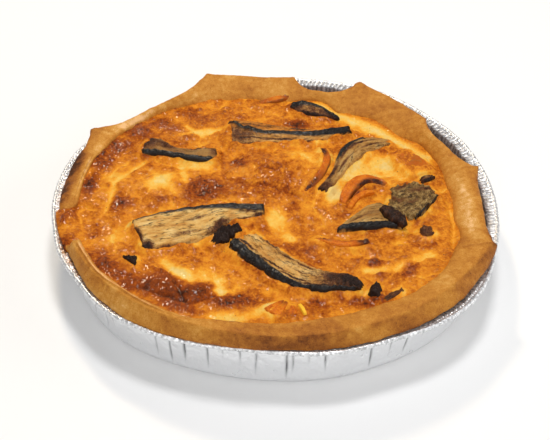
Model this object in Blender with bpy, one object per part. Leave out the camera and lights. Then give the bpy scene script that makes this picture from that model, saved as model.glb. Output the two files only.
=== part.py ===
"""A round vegetable quiche in its crinkled foil tin.

The tin stands on z = 0 with the middle of its flat bottom at the origin, and -Y is the front.
Angles are in degrees, from +X towards +Y. Lengths are in millimetres, and add_solid turns
them into metres. The crust and the custard share one set of columns round the middle and one
way of splitting them into triangles, so the gap between them stays even.
"""

import math

import bmesh
import bpy
import numpy as np
from mathutils import Vector
from mathutils.bvhtree import BVHTree

MM = 0.001
COLUMNS = 120

# Foil tin
RIM_RADIUS = 115.0
BASE_RADIUS = 105.0
TIN_HEIGHT = 28.0
FOIL = 0.6
FLANGE_WIDTH = 5.2
FLANGE_DROP = 1.2
BEAD = 2.2
BASE_BEND = 2.6
MIDDLE_HEIGHT = 15.0
CREASE_DEPTH = 0.35
BASE_SHARE = 0.35

# How hands have squashed the rim: middle, spread and amount of each swelling or dent
RIM_SQUASH = (
    (3, 38, -2.4),
    (62, 22, 2.4),
    (135, 30, -7.5),
    (206, 12, 1.2),
    (228, 20, 2.2),
    (264, 24, -3.4),
    (318, 26, 4.4),
)
BASE_SWELLING = (222, 30, 2.6)

# Pastry case
FLOOR_THICK = 3.0
WALL_THICK = 4.5
LAYER_GAP = 0.35
TIN_CLEARANCE = 1.1
WALL_HEIGHT = 17.0
NECK_HEIGHT = 25.5
LEAN_INWARD = 3.0
FLOOR_CORNER = 1.5

# Underside of the crust: its height over the flange, how much lower its lip and its neck
# go where it stands inside the tin, and the height of its outer flank
OVER_FLANGE = 28.5
LIP_THICK = 0.4
LIP_DROP = 3.5
NECK_DROP = 5.0
FLANK_HEIGHT = 4.5
EDGE_ROUND = 0.8
EDGE_SLUMP = 0.14
SHOULDER_RISE = 0.72

# At the front the crust hangs lower over the flange: middle, spread and amount
FRONT_HANG = (258, 90, 4.2)

# Corners of the crust's outer edge: angle, reach, height, sag of the reach and of the
# height on the way to the next corner
CRUST_CORNERS = (
    (10.5, 106.2, 36.2, 7.4, 0.2),
    (37.5, 101.6, 37.4, 0.4, 1.4),
    (64.5, 107.6, 37.5, 10.6, 2.5),
    (85.5, 101.8, 37.0, 3.6, 0.3),
    (112.5, 110.8, 37.5, 12.2, 1.4),
    (155.5, 112.2, 35.6, 1.0, 0.3),
    (164, 108.8, 34.8, 0.0, 0.0),
    (172, 109.4, 34.2, 0.0, 0.0),
    (184, 110.4, 33.2, 0.0, 0.0),
    (187.6, 110.6, 31.6, 0.0, 0.0),
    (189.6, 110.4, 29.4, 0.0, 0.0),
    (204.2, 111.0, 29.4, 0.0, 0.0),
    (205.8, 110.4, 35.6, 0.0, 0.0),
    (219, 112.0, 36.8, 0.0, 0.0),
    (264, 111.6, 37.0, 0.0, 0.0),
    (327, 112.0, 37.0, 0.0, 0.0),
    (337.5, 113.8, 37.2, 6.6, 0.8),
)

# Where the custard meets the crust: angle, radius, height and how far across the crust's
# width its highest line runs
CUSTARD_EDGE = (
    (6, 87.5, 31.0, 0.55),
    (27, 89.0, 30.5, 0.65),
    (42, 84.5, 30.0, 0.75),
    (54, 86.5, 30.0, 0.80),
    (66, 82.5, 30.0, 0.85),
    (75, 88.0, 30.5, 0.75),
    (90, 83.0, 31.0, 0.85),
    (105, 89.0, 30.5, 0.88),
    (120, 93.5, 30.5, 0.80),
    (138, 95.6, 31.5, 0.60),
    (155, 97.8, 32.0, 0.70),
    (162, 98.2, 32.2, 0.45),
    (168, 99.3, 32.2, 0.20),
    (175, 99.7, 32.0, 0.20),
    (183, 100.6, 31.8, 0.28),
    (187, 101.4, 31.0, 0.34),
    (190, 106.4, 28.6, 0.50),
    (204.2, 109.0, 28.6, 0.50),
    (206, 105.0, 34.4, 0.55),
    (222, 106.0, 34.8, 0.60),
    (246, 106.0, 35.0, 0.60),
    (261, 101.5, 34.8, 0.66),
    (288, 98.5, 34.3, 0.72),
    (318, 100.0, 34.0, 0.74),
    (336, 96.5, 32.5, 0.76),
    (351, 89.5, 31.2, 0.66),
)

# The crust sinks under the custard at the left and slumps outwards beside it. Lower down it
# bulges towards the bead at three sides
SUNK_CRUST = (195, 12)
SUNK_RISE = 1.5
LEFT_SLUMP = (176, 16, 0.5)
BULGES = ((230, 34, 2.8), (294, 18, 1.6), (318, 30, 3.6), (0, 24, 0.6))
BULGE_DROP = 0.25
LIP_SAG = 1.0

# A flap of pastry folded over the front of the crust
FLAP_MIDDLE = 274
FLAP_SPREAD = 11
FLAP_RISE = 0.8

# Custard
CUSTARD_LEVEL = 32.0
EDGE_FLATNESS = 4
CUSTARD_RINGS = (0.94, 0.87, 0.79, 0.70, 0.61, 0.51, 0.41, 0.31, 0.21, 0.10)
HALVED_FROM = 5
HALVED_AGAIN_FROM = 8

# Swells of the custard's skin: x, y, length and width of the mound, turn and height
CUSTARD_SWELLS = (
    (-84, 2, 15, 9, 70, 3.0),
    (-58, 6, 20, 9, 10, 2.4),
    (-46, -78, 26, 13, -28, 2.6),
    (-74, -70, 12, 10, 0, 1.6),
    (2, 18, 24, 15, 12, 3.6),
    (-36, 62, 18, 12, 30, 2.0),
    (62, -58, 20, 13, 35, 2.2),
    (4, -12, 13, 11, 0, 1.5),
    (48, 62, 20, 7, -40, 1.4),
    (-38, -62, 18, 8, -10, 1.8),
    (14, -30, 9, 7, 0, -2.6),
    (54, 20, 13, 6, 30, -1.8),
    (-90, 14, 8, 5, 80, -1.2),
)

# Vegetables: each row is x, y, half width and height above the custard
LAY_CLEARANCE = 0.8
FOOT_REACH = 2.0
SLICE_PROFILE = ((1, 0), (0.94, 0.62), (0.55, 1), (-0.55, 1), (-0.94, 0.62), (-1, 0), (0, 0))
SLICES = {
    "aubergine_slice_left": (
        (-68.2, -42.2, 13.0, 4.4),
        (-57.3, -37.9, 13.6, 4.6),
        (-47.5, -34.6, 13.6, 4.6),
        (-39.0, -31.2, 13.2, 4.4),
        (-29.5, -25.4, 8.6, 4.4),
        (-20.0, -22.8, 6.0, 4.4),
        (-12.0, -22.6, 5.2, 4.6),
        (-6.4, -22.8, 4.6, 4.8),
    ),
    "aubergine_burnt_curl": (
        (-31.4, -47.6, 2.0, 2.6),
        (-27.4, -43.2, 4.0, 5.2),
        (-23.6, -38.4, 3.6, 6.6),
        (-16.0, -34.4, 2.2, 4.2),
    ),
    "aubergine_slice_front": (
        (-18.1, -41.2, 8.6, 4.0),
        (-11.9, -49.0, 9.3, 4.6),
        (-4.0, -56.8, 9.0, 4.6),
        (2.5, -62.6, 9.2, 4.4),
        (10.0, -68.0, 9.4, 4.2),
        (16.5, -71.2, 8.8, 4.2),
        (23.5, -72.8, 7.6, 4.2),
        (31.0, -73.4, 6.4, 4.6),
        (37.0, -75.0, 5.4, 4.0),
        (40.4, -75.8, 4.2, 3.0),
    ),
    "aubergine_burnt_end": (
        (42.0, -78.4, 3.0, 3.0),
        (45.0, -79.0, 5.0, 4.8),
        (48.6, -79.6, 3.2, 3.0),
    ),
    "aubergine_slice_back_left": (
        (-73.5, 35.2, 8.0, 2.6),
        (-66.0, 33.2, 7.4, 3.2),
        (-57.5, 28.6, 4.4, 3.6),
        (-47.0, 25.8, 4.4, 3.6),
        (-38.5, 26.4, 6.0, 3.4),
        (-32.0, 26.8, 5.6, 3.0),
    ),
    "aubergine_slice_back": (
        (-28.8, 47.5, 11.0, 2.0),
        (-20.0, 47.3, 11.4, 3.4),
        (-8.0, 45.6, 9.8, 4.0),
        (4.0, 44.6, 8.0, 4.0),
        (16.0, 44.8, 5.8, 3.8),
        (28.5, 48.4, 2.8, 3.8),
        (39.5, 52.4, 2.0, 3.4),
    ),
    "aubergine_slice_rim": (
        (5.6, 76.6, 2.0, 2.6),
        (11.4, 75.0, 5.6, 3.4),
        (19.4, 72.0, 5.4, 3.4),
        (27.0, 68.6, 3.0, 2.8),
        (33.4, 65.6, 1.3, 2.0),
    ),
    "aubergine_slice_middle": (
        (60.5, 43.0, 2.6, 2.6),
        (55.0, 42.0, 4.6, 3.2),
        (48.7, 40.2, 6.4, 3.6),
        (42.8, 36.2, 7.0, 3.8),
        (38.2, 30.2, 6.4, 3.8),
        (34.4, 22.6, 4.7, 3.6),
        (30.6, 13.0, 3.2, 3.2),
        (26.2, 4.4, 3.0, 2.8),
        (21.8, -2.6, 3.4, 2.2),
    ),
    "aubergine_slice_right": (
        (29.0, -33.2, 1.4, 2.4),
        (34.0, -30.2, 3.8, 3.2),
        (40.0, -25.9, 6.9, 3.4),
        (45.4, -22.4, 9.8, 3.4),
        (50.0, -21.0, 10.4, 3.2),
        (53.0, -21.2, 9.6, 3.2),
        (55.6, -25.4, 5.6, 3.0),
        (59.0, -28.2, 3.0, 2.8),
        (62.0, -30.4, 0.9, 2.2),
    ),
    "aubergine_dark_strip": (
        (51.4, -17.4, 1.6, 2.4),
        (54.4, -21.0, 3.2, 3.0),
        (58.2, -25.6, 3.5, 3.2),
        (62.6, -31.4, 2.0, 2.6),
    ),
    "aubergine_chunk_right": (
        (54.8, -7.4, 6.0, 2.8),
        (58.0, -8.9, 10.9, 3.4),
        (63.0, -10.2, 15.2, 4.2),
        (68.0, -9.6, 16.0, 5.4),
        (73.0, -8.0, 11.6, 5.8),
        (78.0, -5.6, 7.0, 4.8),
        (82.0, -3.0, 2.4, 2.8),
    ),
    "aubergine_tip_right": (
        (72.8, 7.8, 1.6, 2.6),
        (76.8, 10.8, 2.4, 3.2),
        (81.6, 14.2, 1.2, 2.2),
    ),
    "aubergine_burnt_bit_right": (
        (69.0, -34.0, 2.4, 2.2),
        (73.0, -33.4, 3.8, 3.4),
        (77.0, -32.2, 2.4, 2.2),
    ),
    "aubergine_skin_corner": (
        (-73.2, -57.9, 0.6, 1.4),
        (-69.5, -59.4, 2.2, 2.2),
        (-65.6, -61.4, 4.0, 2.4),
    ),
    "aubergine_strip_front": (
        (49.0, -84.2, 1.2, 1.8),
        (54.0, -80.4, 1.7, 2.2),
        (58.5, -76.6, 1.2, 1.8),
    ),
    "pumpkin_arc_outer": (
        (32.4, -12.0, 2.0, 2.8),
        (34.8, -4.6, 3.2, 3.8),
        (39.2, 3.0, 3.8, 4.2),
        (45.4, 7.6, 3.6, 4.2),
        (51.6, 6.8, 2.6, 3.2),
        (55.8, 4.2, 1.4, 2.2),
    ),
    "pumpkin_arc_inner": (
        (36.0, -15.0, 1.3, 2.2),
        (39.2, -8.2, 1.7, 2.8),
        (44.0, -3.2, 1.7, 2.8),
        (49.4, -1.4, 1.2, 2.2),
    ),
    "pumpkin_fan_left": (
        (4.6, -85.6, 1.3, 1.8),
        (1.0, -90.6, 3.8, 2.4),
        (-2.6, -95.0, 5.2, 2.0),
    ),
    "pumpkin_fan_right": (
        (7.6, -88.4, 0.9, 1.8),
        (7.7, -92.0, 1.8, 2.2),
        (7.6, -95.2, 2.6, 2.0),
    ),
    "pumpkin_strip_front": (
        (10.4, -87.4, 0.9, 2.0),
        (12.0, -91.4, 1.1, 2.4),
        (13.4, -95.2, 0.9, 2.0),
    ),
    "pumpkin_slab_edge": (
        (23.2, 34.2, 2.0, 3.0),
        (25.2, 23.6, 2.4, 3.8),
        (23.2, 13.4, 2.2, 3.4),
        (18.0, 3.8, 2.1, 2.8),
        (12.0, -6.0, 1.4, 2.2),
    ),
    "pumpkin_slab_right": (
        (64.5, 34.5, 4.4, 2.4),
        (69.0, 28.0, 6.8, 3.2),
        (72.5, 21.5, 7.2, 3.2),
        (75.4, 15.8, 6.2, 2.2),
    ),
    "pumpkin_sliver_crust": (
        (-12.0, 80.0, 1.8, 2.0),
        (-4.0, 82.6, 2.8, 2.4),
        (2.4, 85.6, 2.4, 2.4),
        (6.0, 89.4, 1.4, 2.0),
    ),
    "pumpkin_sliver_middle": (
        (18.0, -38.0, 1.2, 1.8),
        (26.0, -42.6, 1.9, 2.6),
        (36.0, -43.6, 2.2, 2.8),
        (45.0, -40.4, 1.6, 2.0),
    ),
}

# Slices whose half width is measured in one direction, in degrees, and the one that lies on another
SIDEWAYS = {"aubergine_slice_right": 90, "aubergine_chunk_right": 90, "aubergine_skin_corner": 90}
LIFTS = {"aubergine_dark_strip": 3.6}

# Base colour, roughness and metallic value of each finish
FINISHES = {
    "foil": ((0.78, 0.79, 0.80, 1), 0.32, 1.0),
    "crust": ((0.52, 0.25, 0.08, 1), 0.65, 0.0),
    "custard": ((0.83, 0.33, 0.05, 1), 0.35, 0.0),
    "aubergine": ((0.33, 0.21, 0.09, 1), 0.55, 0.0),
    "burnt_skin": ((0.03, 0.02, 0.02, 1), 0.45, 0.0),
    "pumpkin": ((0.80, 0.27, 0.03, 1), 0.45, 0.0),
}


def column_angle(column):
    """Angle of one of the columns that the tin, the crust and the custard share."""
    return (column + 0.5) * 360 / COLUMNS


def swelling(angle, middle, spread):
    """Return 1 at the middle angle, falling smoothly to 0 at the spread on both sides."""
    away = (angle - middle + 180) % 360 - 180
    if abs(away) >= spread:
        return 0.0
    return math.cos(math.radians(90 * away / spread)) ** 2


def smooth_step(share):
    """Return 0 to 1 with level ends for a share that runs from 0 to 1."""
    share = min(max(share, 0.0), 1.0)
    return share * share * (3 - 2 * share)


def between(angle, rows):
    """Find the two rows round an angle, and the share of the way from one to the other."""
    count = len(rows)
    for index, row in enumerate(rows):
        following = rows[(index + 1) % count]
        span = (following[0] - row[0]) % 360
        away = (angle - row[0]) % 360
        if away < span:
            return row, following, away / span
    return rows[0], rows[1], 0.0


def rim_squash(angle):
    """How far hands have moved the rim outwards at an angle."""
    return sum(amount * swelling(angle, middle, spread) for middle, spread, amount in RIM_SQUASH)


def tin_radius(angle, height):
    """Outer radius of the tin's wall at a height; the wall's top lies inside the flange."""
    middle, spread, amount = BASE_SWELLING
    squash = rim_squash(angle)
    bottom = BASE_RADIUS + BASE_SHARE * squash + amount * swelling(angle, middle, spread)
    top = RIM_RADIUS + squash - FLANGE_WIDTH
    return bottom + (top - bottom) * height / TIN_HEIGHT


def crease(column, height):
    """The wall's pleats: every other column stands in, unevenly deep and fading at the base."""
    depth = CREASE_DEPTH * (1 + 0.6 * math.sin(2.3 * column) + 0.4 * math.sin(0.71 * column))
    side = 1 if column % 2 else -1
    return 0.5 * side * depth * height / TIN_HEIGHT


def tin_section(column):
    """Radius and height of each ring of the tin, outside from the base up, then down inside."""
    angle = column_angle(column)
    rim = RIM_RADIUS + rim_squash(angle)
    under = TIN_HEIGHT - FLANGE_DROP

    def wall(height):
        return tin_radius(angle, height) + crease(column, height)

    outside = [
        (wall(0) - BASE_BEND, 0.0),
        (wall(BASE_BEND), BASE_BEND),
        (wall(MIDDLE_HEIGHT), MIDDLE_HEIGHT),
        (wall(under), under),
        (rim - BEAD, under),
    ]
    bead = [
        (rim - 0.3 * BEAD, TIN_HEIGHT - 0.95 * BEAD),
        (rim, TIN_HEIGHT - 0.45 * BEAD),
        (rim - 0.5 * BEAD, TIN_HEIGHT),
        (rim - 1.1 * BEAD, under + FOIL + 0.1 * BEAD),
    ]
    inside = [
        (wall(under) - FOIL, under + FOIL),
        (wall(MIDDLE_HEIGHT) - FOIL, MIDDLE_HEIGHT),
        (wall(BASE_BEND) - FOIL, BASE_BEND + 0.5 * FOIL),
        (wall(0) - BASE_BEND - 0.5 * FOIL, FOIL),
    ]
    return outside + bead + inside


def crust_edge(angle):
    """Reach and height of the crust's outer edge: corners joined by sagging stretches."""
    start, end, share = between(angle, CRUST_CORNERS)
    sag = 1 - abs(2 * share - 1) ** 3
    reach = start[1] + (end[1] - start[1]) * share - start[3] * sag
    height = start[2] + (end[2] - start[2]) * share - start[4] * sag
    flap = min(1.0, 3 * swelling(angle, FLAP_MIDDLE, FLAP_SPREAD)) * FLAP_RISE
    return reach + flap, height + flap


def custard_edge(angle):
    """Radius and height at which the custard meets the crust, and where the crust is highest."""
    start, end, share = between(angle, CUSTARD_EDGE)
    share = smooth_step(share)
    return [start[item] + (end[item] - start[item]) * share for item in (1, 2, 3)]


def outer_wall(angle):
    """Radius of the pastry's outer face half way up, against the tin or shrunk away from it."""
    against_tin = tin_radius(angle, WALL_HEIGHT) - FOIL - TIN_CLEARANCE
    return min(against_tin, crust_edge(angle)[0] - EDGE_ROUND)


def inner_wall(angle):
    """The crust's inner face below the custard, from the floor's edge up to the custard's edge."""
    edge_radius, edge_height, _ = custard_edge(angle)
    wall = outer_wall(angle)
    inner = min(edge_radius + LEAN_INWARD, wall - WALL_THICK)
    neck_radius = min(0.5 * (inner + edge_radius), wall - 0.7 * WALL_THICK)
    neck_height = NECK_HEIGHT + SUNK_RISE * min(1.0, 2 * swelling(angle, *SUNK_CRUST))
    floor_top = FOIL + LAYER_GAP + FLOOR_THICK
    floor_edge = BASE_RADIUS - BASE_BEND - WALL_THICK - 2 * FLOOR_CORNER
    return [
        (floor_edge, floor_top),
        (inner, WALL_HEIGHT),
        (neck_radius, neck_height),
        (edge_radius, edge_height),
    ]


def crust_section(column):
    """Radius and height of each ring of the crust, from the floor's top edge round to its base."""
    angle = column_angle(column)
    reach, height = crust_edge(angle)
    inside = inner_wall(angle)
    edge_radius, edge_height = inside[-1]
    across = custard_edge(angle)[2]
    ridge = edge_radius + across * (reach - edge_radius)
    wall_top = tin_radius(angle, TIN_HEIGHT) - FOIL
    inside_tin = 1 - smooth_step((reach - wall_top + 4 * TIN_CLEARANCE) / (2 * TIN_CLEARANCE))
    middle, spread, amount = LEFT_SLUMP
    slump = EDGE_SLUMP + amount * swelling(angle, middle, spread)
    bulge = sum(amount * swelling(angle, middle, spread) for middle, spread, amount in BULGES)
    middle, spread, drop = FRONT_HANG
    hang = FLANK_HEIGHT + drop * swelling(angle, middle, spread)
    flank = max(height - hang, OVER_FLANGE + LIP_THICK) - BULGE_DROP * bulge
    lip_reach = min(reach, wall_top + FLANGE_WIDTH - BEAD - TIN_CLEARANCE)
    foot = tin_radius(angle, BASE_BEND) - FOIL - TIN_CLEARANCE
    top = [
        (0.5 * (edge_radius + ridge), edge_height + SHOULDER_RISE * (height - edge_height)),
        (ridge, height),
        (reach - EDGE_ROUND, height - slump * (height - flank)),
        (reach + bulge, flank),
    ]
    under = [
        (lip_reach - LIP_THICK, OVER_FLANGE - LIP_SAG + LIP_THICK - inside_tin * LIP_DROP),
        (min(wall_top, reach) - 1.5 * TIN_CLEARANCE, OVER_FLANGE - inside_tin * NECK_DROP),
        (outer_wall(angle), WALL_HEIGHT),
        (foot, BASE_BEND + FLOOR_CORNER),
        (foot - BASE_BEND - FLOOR_CORNER, FOIL + LAYER_GAP),
    ]
    return inside + top + under


def mound(x, y, swell):
    """Height that one swell of the custard adds at a point."""
    middle_x, middle_y, length, width, turn, height = swell
    cos_turn, sin_turn = math.cos(math.radians(turn)), math.sin(math.radians(turn))
    along = (x - middle_x) * cos_turn + (y - middle_y) * sin_turn
    across = (y - middle_y) * cos_turn - (x - middle_x) * sin_turn
    return height * math.exp(-((along / length) ** 2 + (across / width) ** 2))


def custard_top(angle, share):
    """Height of the custard's skin at a share of the way from the middle to its edge."""
    radius, edge_height, _ = custard_edge(angle)
    x = radius * share * math.cos(math.radians(angle))
    y = radius * share * math.sin(math.radians(angle))
    level = CUSTARD_LEVEL + (edge_height - CUSTARD_LEVEL) * share ** EDGE_FLATNESS
    swells = sum(mound(x, y, swell) for swell in CUSTARD_SWELLS)
    return level + swells * (1 - share ** EDGE_FLATNESS)


def custard_side(column):
    """The custard's underside and side, the crust's inner face moved in by the gap."""
    moves = ((1.0, 1.0), (1.3, 0.0), (1.2, 0.8), (1.3, 0.9))
    wall = inner_wall(column_angle(column))
    return [(radius - LAYER_GAP * inward, height + LAYER_GAP * upward)
            for (radius, height), (inward, upward) in zip(wall, moves)]


def place(column, radius, height):
    """Turn a column, a radius and a height into a point."""
    angle = math.radians(column_angle(column))
    return radius * math.cos(angle), radius * math.sin(angle), height


class Shell:
    """Points and triangles of one closed solid, built ring by ring."""

    def __init__(self):
        self.points = []
        self.triangles = []

    def ring(self, positions):
        """Add a ring of points and return their numbers."""
        first = len(self.points)
        self.points.extend(positions)
        return list(range(first, len(self.points)))

    def bridge(self, outer, inner):
        """Join a ring to one with as many points or half as many, with one set of diagonals."""
        count = len(outer)
        ratio = count // len(inner)
        for index in range(count):
            start, end = outer[index], outer[(index + 1) % count]
            near = inner[index // ratio]
            if ratio == 1:
                far = inner[(index + 1) % count]
                self.triangles += [(start, end, far), (start, far, near)]
            elif index % 2 == 0:
                self.triangles.append((start, end, near))
            else:
                far = inner[(index // 2 + 1) % len(inner)]
                self.triangles += [(start, end, far), (start, far, near)]

    def close(self, ring, position):
        """Close a ring with a fan round one point."""
        middle = len(self.points)
        self.points.append(position)
        count = len(ring)
        for index in range(count):
            self.triangles.append((ring[index], ring[(index + 1) % count], middle))


def shell_of_sections(sections):
    """Make a shell from the sections of all columns and return it with its rings."""
    shell = Shell()
    rings = []
    for number in range(len(sections[0])):
        rings.append(shell.ring([place(c, *section[number]) for c, section in enumerate(sections)]))
    for outer, inner in zip(rings, rings[1:]):
        shell.bridge(outer, inner)
    return shell, rings


def inner_ring(shell, ring, share):
    """Add a ring of every other point, drawn in towards the middle at the same height."""
    return shell.ring([(shell.points[i][0] * share, shell.points[i][1] * share,
                        shell.points[i][2]) for i in ring[::2]])


def close_flat(shell, ring):
    """Close a level ring with one smaller ring and a fan."""
    smaller = inner_ring(shell, ring, 0.6)
    shell.bridge(ring, smaller)
    shell.close(smaller, (0.0, 0.0, shell.points[ring[0]][2]))


def tin_shell():
    """The foil tin, one thin shell with a flange and a rolled bead."""
    shell, rings = shell_of_sections([tin_section(column) for column in range(COLUMNS)])
    close_flat(shell, rings[0])
    close_flat(shell, rings[-1])
    return shell


def crust_shell():
    """The pastry case: floor, wall and crust in one piece."""
    shell, rings = shell_of_sections([crust_section(column) for column in range(COLUMNS)])
    close_flat(shell, rings[0])
    close_flat(shell, rings[-1])
    return shell


def custard_shell():
    """The filling, from the case's floor up to its swollen skin."""
    shell, rings = shell_of_sections([custard_side(column) for column in range(COLUMNS)])
    close_flat(shell, rings[0])
    outer, stride = rings[-1], 1
    for number, share in enumerate(CUSTARD_RINGS):
        if number in (HALVED_FROM, HALVED_AGAIN_FROM):
            stride *= 2
        ring = []
        for column in range(0, COLUMNS, stride):
            angle = column_angle(column)
            ring.append(place(column, custard_edge(angle)[0] * share, custard_top(angle, share)))
        inner = shell.ring(ring)
        shell.bridge(outer, inner)
        outer = inner
    shell.close(outer, (0.0, 0.0, custard_top(0, 0.0)))
    return shell


def ground_finder(shells):
    """Return a function that finds the height of the highest surface near a point."""
    trees = [BVHTree.FromPolygons([Vector(p) for p in s.points], s.triangles) for s in shells]
    down = Vector((0, 0, -1))
    turns = np.linspace(0, 2 * math.pi, 8, endpoint=False)
    spots = [Vector((0, 0, 3 * TIN_HEIGHT))]
    spots += [spots[0] + Vector((FOOT_REACH * math.cos(t), FOOT_REACH * math.sin(t), 0)) for t in turns]

    def ground(x, y):
        hits = [tree.ray_cast(Vector((x, y, 0)) + spot, down)[0] for tree in trees for spot in spots]
        return max(hit.z for hit in hits if hit is not None)

    return ground


def slice_shell(name, rows, ground):
    """A strip of vegetable laid along its rows, with a flat foot and rounded shoulders."""
    shell = Shell()
    rings = []
    for index, (x, y, half_width, height) in enumerate(rows):
        before, after = rows[max(index - 1, 0)], rows[min(index + 1, len(rows) - 1)]
        along = Vector((after[0] - before[0], after[1] - before[1])).normalized()
        side = Vector((-along.y, along.x))
        if name in SIDEWAYS:
            turn = math.radians(SIDEWAYS[name])
            side = Vector((math.cos(turn), math.sin(turn)))
        ring = []
        for across, up in SLICE_PROFILE:
            spot_x = x + side.x * across * half_width
            spot_y = y + side.y * across * half_width
            foot = ground(spot_x, spot_y) + LAY_CLEARANCE + LIFTS.get(name, 0.0)
            ring.append((spot_x, spot_y, foot + up * (height - LAY_CLEARANCE)))
        rings.append(shell.ring(ring))
    for outer, inner in zip(rings, rings[1:]):
        shell.bridge(outer, inner)
    for ring in (rings[0], rings[-1]):
        middle = [sum(shell.points[i][axis] for i in ring) / len(ring) for axis in range(3)]
        shell.close(ring, tuple(middle))
    return shell


def make_finish(name):
    """Make the plain material of one finish."""
    colour, roughness, metallic = FINISHES[name]
    material = bpy.data.materials.new(name)
    material.use_nodes = True
    surface = material.node_tree.nodes["Principled BSDF"]
    surface.inputs["Base Color"].default_value = colour
    surface.inputs["Roughness"].default_value = roughness
    surface.inputs["Metallic"].default_value = metallic
    return material


def add_solid(name, shell, material):
    """Turn a shell into an object, in metres and with its faces pointing out."""
    work = bmesh.new()
    points = [work.verts.new(Vector(point) * MM) for point in shell.points]
    for corners in shell.triangles:
        work.faces.new([points[i] for i in corners])
    bmesh.ops.recalc_face_normals(work, faces=work.faces)
    mesh = bpy.data.meshes.new(name)
    work.to_mesh(mesh)
    work.free()
    mesh.materials.append(material)
    mesh.shade_smooth()
    mesh.set_sharp_from_angle(angle=math.radians(40))
    body = bpy.data.objects.new(name, mesh)
    bpy.context.scene.collection.objects.link(body)
    return body


def slice_finish(name):
    """Name the finish of a slice from the slice's own name."""
    if name.startswith("pumpkin"):
        return "pumpkin"
    if any(word in name for word in ("burnt", "dark", "skin", "strip")):
        return "burnt_skin"
    return "aubergine"


def main():
    """Clear the scene and model the quiche."""
    for old in list(bpy.data.objects):
        bpy.data.objects.remove(old, do_unlink=True)
    finishes = {name: make_finish(name) for name in FINISHES}
    crust = crust_shell()
    custard = custard_shell()
    add_solid("foil_tin", tin_shell(), finishes["foil"])
    add_solid("pastry_case", crust, finishes["crust"])
    add_solid("custard_filling", custard, finishes["custard"])
    ground = ground_finder([crust, custard])
    for name, rows in SLICES.items():
        add_solid(name, slice_shell(name, rows, ground), finishes[slice_finish(name)])


main()
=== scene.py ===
import math

import bpy
import numpy as np
from mathutils import Matrix, Vector, noise


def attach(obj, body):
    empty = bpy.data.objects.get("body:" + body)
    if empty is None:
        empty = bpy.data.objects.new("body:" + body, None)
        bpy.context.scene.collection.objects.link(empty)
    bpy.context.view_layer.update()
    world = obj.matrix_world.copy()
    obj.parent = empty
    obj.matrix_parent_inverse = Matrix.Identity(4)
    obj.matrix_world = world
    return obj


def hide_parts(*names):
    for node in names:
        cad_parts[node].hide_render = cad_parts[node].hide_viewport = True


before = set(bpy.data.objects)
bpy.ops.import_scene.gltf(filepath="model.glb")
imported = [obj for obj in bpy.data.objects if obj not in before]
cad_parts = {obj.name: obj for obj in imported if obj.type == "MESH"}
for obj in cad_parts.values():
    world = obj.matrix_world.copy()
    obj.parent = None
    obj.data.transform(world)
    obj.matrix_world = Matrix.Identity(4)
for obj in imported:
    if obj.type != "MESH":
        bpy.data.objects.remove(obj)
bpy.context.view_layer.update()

# Foil tin
# A round disc of thin aluminium foil pressed into a pan, so the spare metal stands in pleats
# round the wall. The rim is rolled into a bead, and drips have baked brown on the flange.
MM = 0.001
RIM_RADIUS = 115.0
BASE_RADIUS = 105.0
TIN_HEIGHT = 28.0
FLANGE_WIDTH = 5.2
FLANGE_DROP = 1.2
BEAD = 2.2
BEAD_ROLL = (-130, 170)
BASE_BEND = 2.6
BASE_SHARE = 0.35
FOIL = 0.6
FOIL_SEEN = 0.3
# Where hands have moved the rim: angle, spread and how far outwards
RIM_SQUASH = (
    (3, 38, -2.4), (62, 22, 2.4), (135, 30, -7.5), (206, 12, 1.2), (228, 20, 2.2), (264, 24, -3.4),
    (318, 26, 4.4),
)
BASE_SWELLING = (222, 30, 2.6)
TIN_COLUMNS = 1620
WALL_ROWS = 13
PLEATS = 270
FLUTE_DEPTH = 2.2
CREASE_DEPTH = 0.8
CREASED_SHARE = 0.31
# How far above the base a crease starts at most, and over what height it then deepens
CREASE_START = 16.0
CREASE_FADE = 8.0
DENT_DEPTH = 2.6
RIDGE_HEIGHT = 0.8
FLANGE_PLEATED = 0.8
BEAD_PLEATED = 0.45
BEAD_CRUMPLED = 0.6
FOIL_COLOUR = (0.90, 0.905, 0.915)
# Painted shade: the dark laid along the tin's creases and flutes
CREASE_SHADE_COLOUR = (0.05, 0.05, 0.055)
# Painted shade: grey standing in for the shade and dark reflections of crinkles on the bead and the flange
CRUMPLE_SHADE_COLOUR = (0.13, 0.13, 0.14)
DRIP_COLOUR = (0.36, 0.17, 0.055)
# Drips baked on the flange: a faint trace all round, which is also painted reflection of the crust, and their
# middle angle, spread and strength
DRIP_TRACE_AND_REFLECTION = 0.08
DRIP_STAIN = (215, 52, 0.95)


def apart(angle, middle):
    """Degrees from a middle angle, from -180 to 180."""
    return (angle - middle + 180) % 360 - 180


def swelling(angle, middle, spread):
    """Return 1 at the middle angle, falling smoothly to 0 at the spread on both sides."""
    away = apart(angle, middle)
    return np.where(np.abs(away) < spread, np.cos(np.radians(90 * away / spread)) ** 2, 0.0)


def smooth_step(share):
    """Return 0 to 1 with level ends for shares from 0 to 1."""
    share = np.clip(share, 0.0, 1.0)
    return share * share * (3 - 2 * share)


def rim_squash(angle):
    """How far hands have moved the rim outwards at each angle."""
    return sum(amount * swelling(angle, middle, spread) for middle, spread, amount in RIM_SQUASH)


def tin_radius(angle, height):
    """Outer radius of the tin's wall at a height; the wall's top lies inside the flange."""
    middle, spread, amount = BASE_SWELLING
    squash = rim_squash(angle)
    bottom = BASE_RADIUS + BASE_SHARE * squash + amount * swelling(angle, middle, spread)
    top = RIM_RADIUS + squash - FLANGE_WIDTH
    return bottom + (top - bottom) * height / TIN_HEIGHT


def column_angles(count):
    """Even angles round the quiche, in degrees."""
    return (np.arange(count) + 0.5) * 360 / count


def turned(angle, radius, height):
    """Turn angles, radii and heights into points."""
    radians = np.radians(angle)
    return np.stack([radius * np.cos(radians), radius * np.sin(radians), height + 0 * radius], -1)


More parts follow.
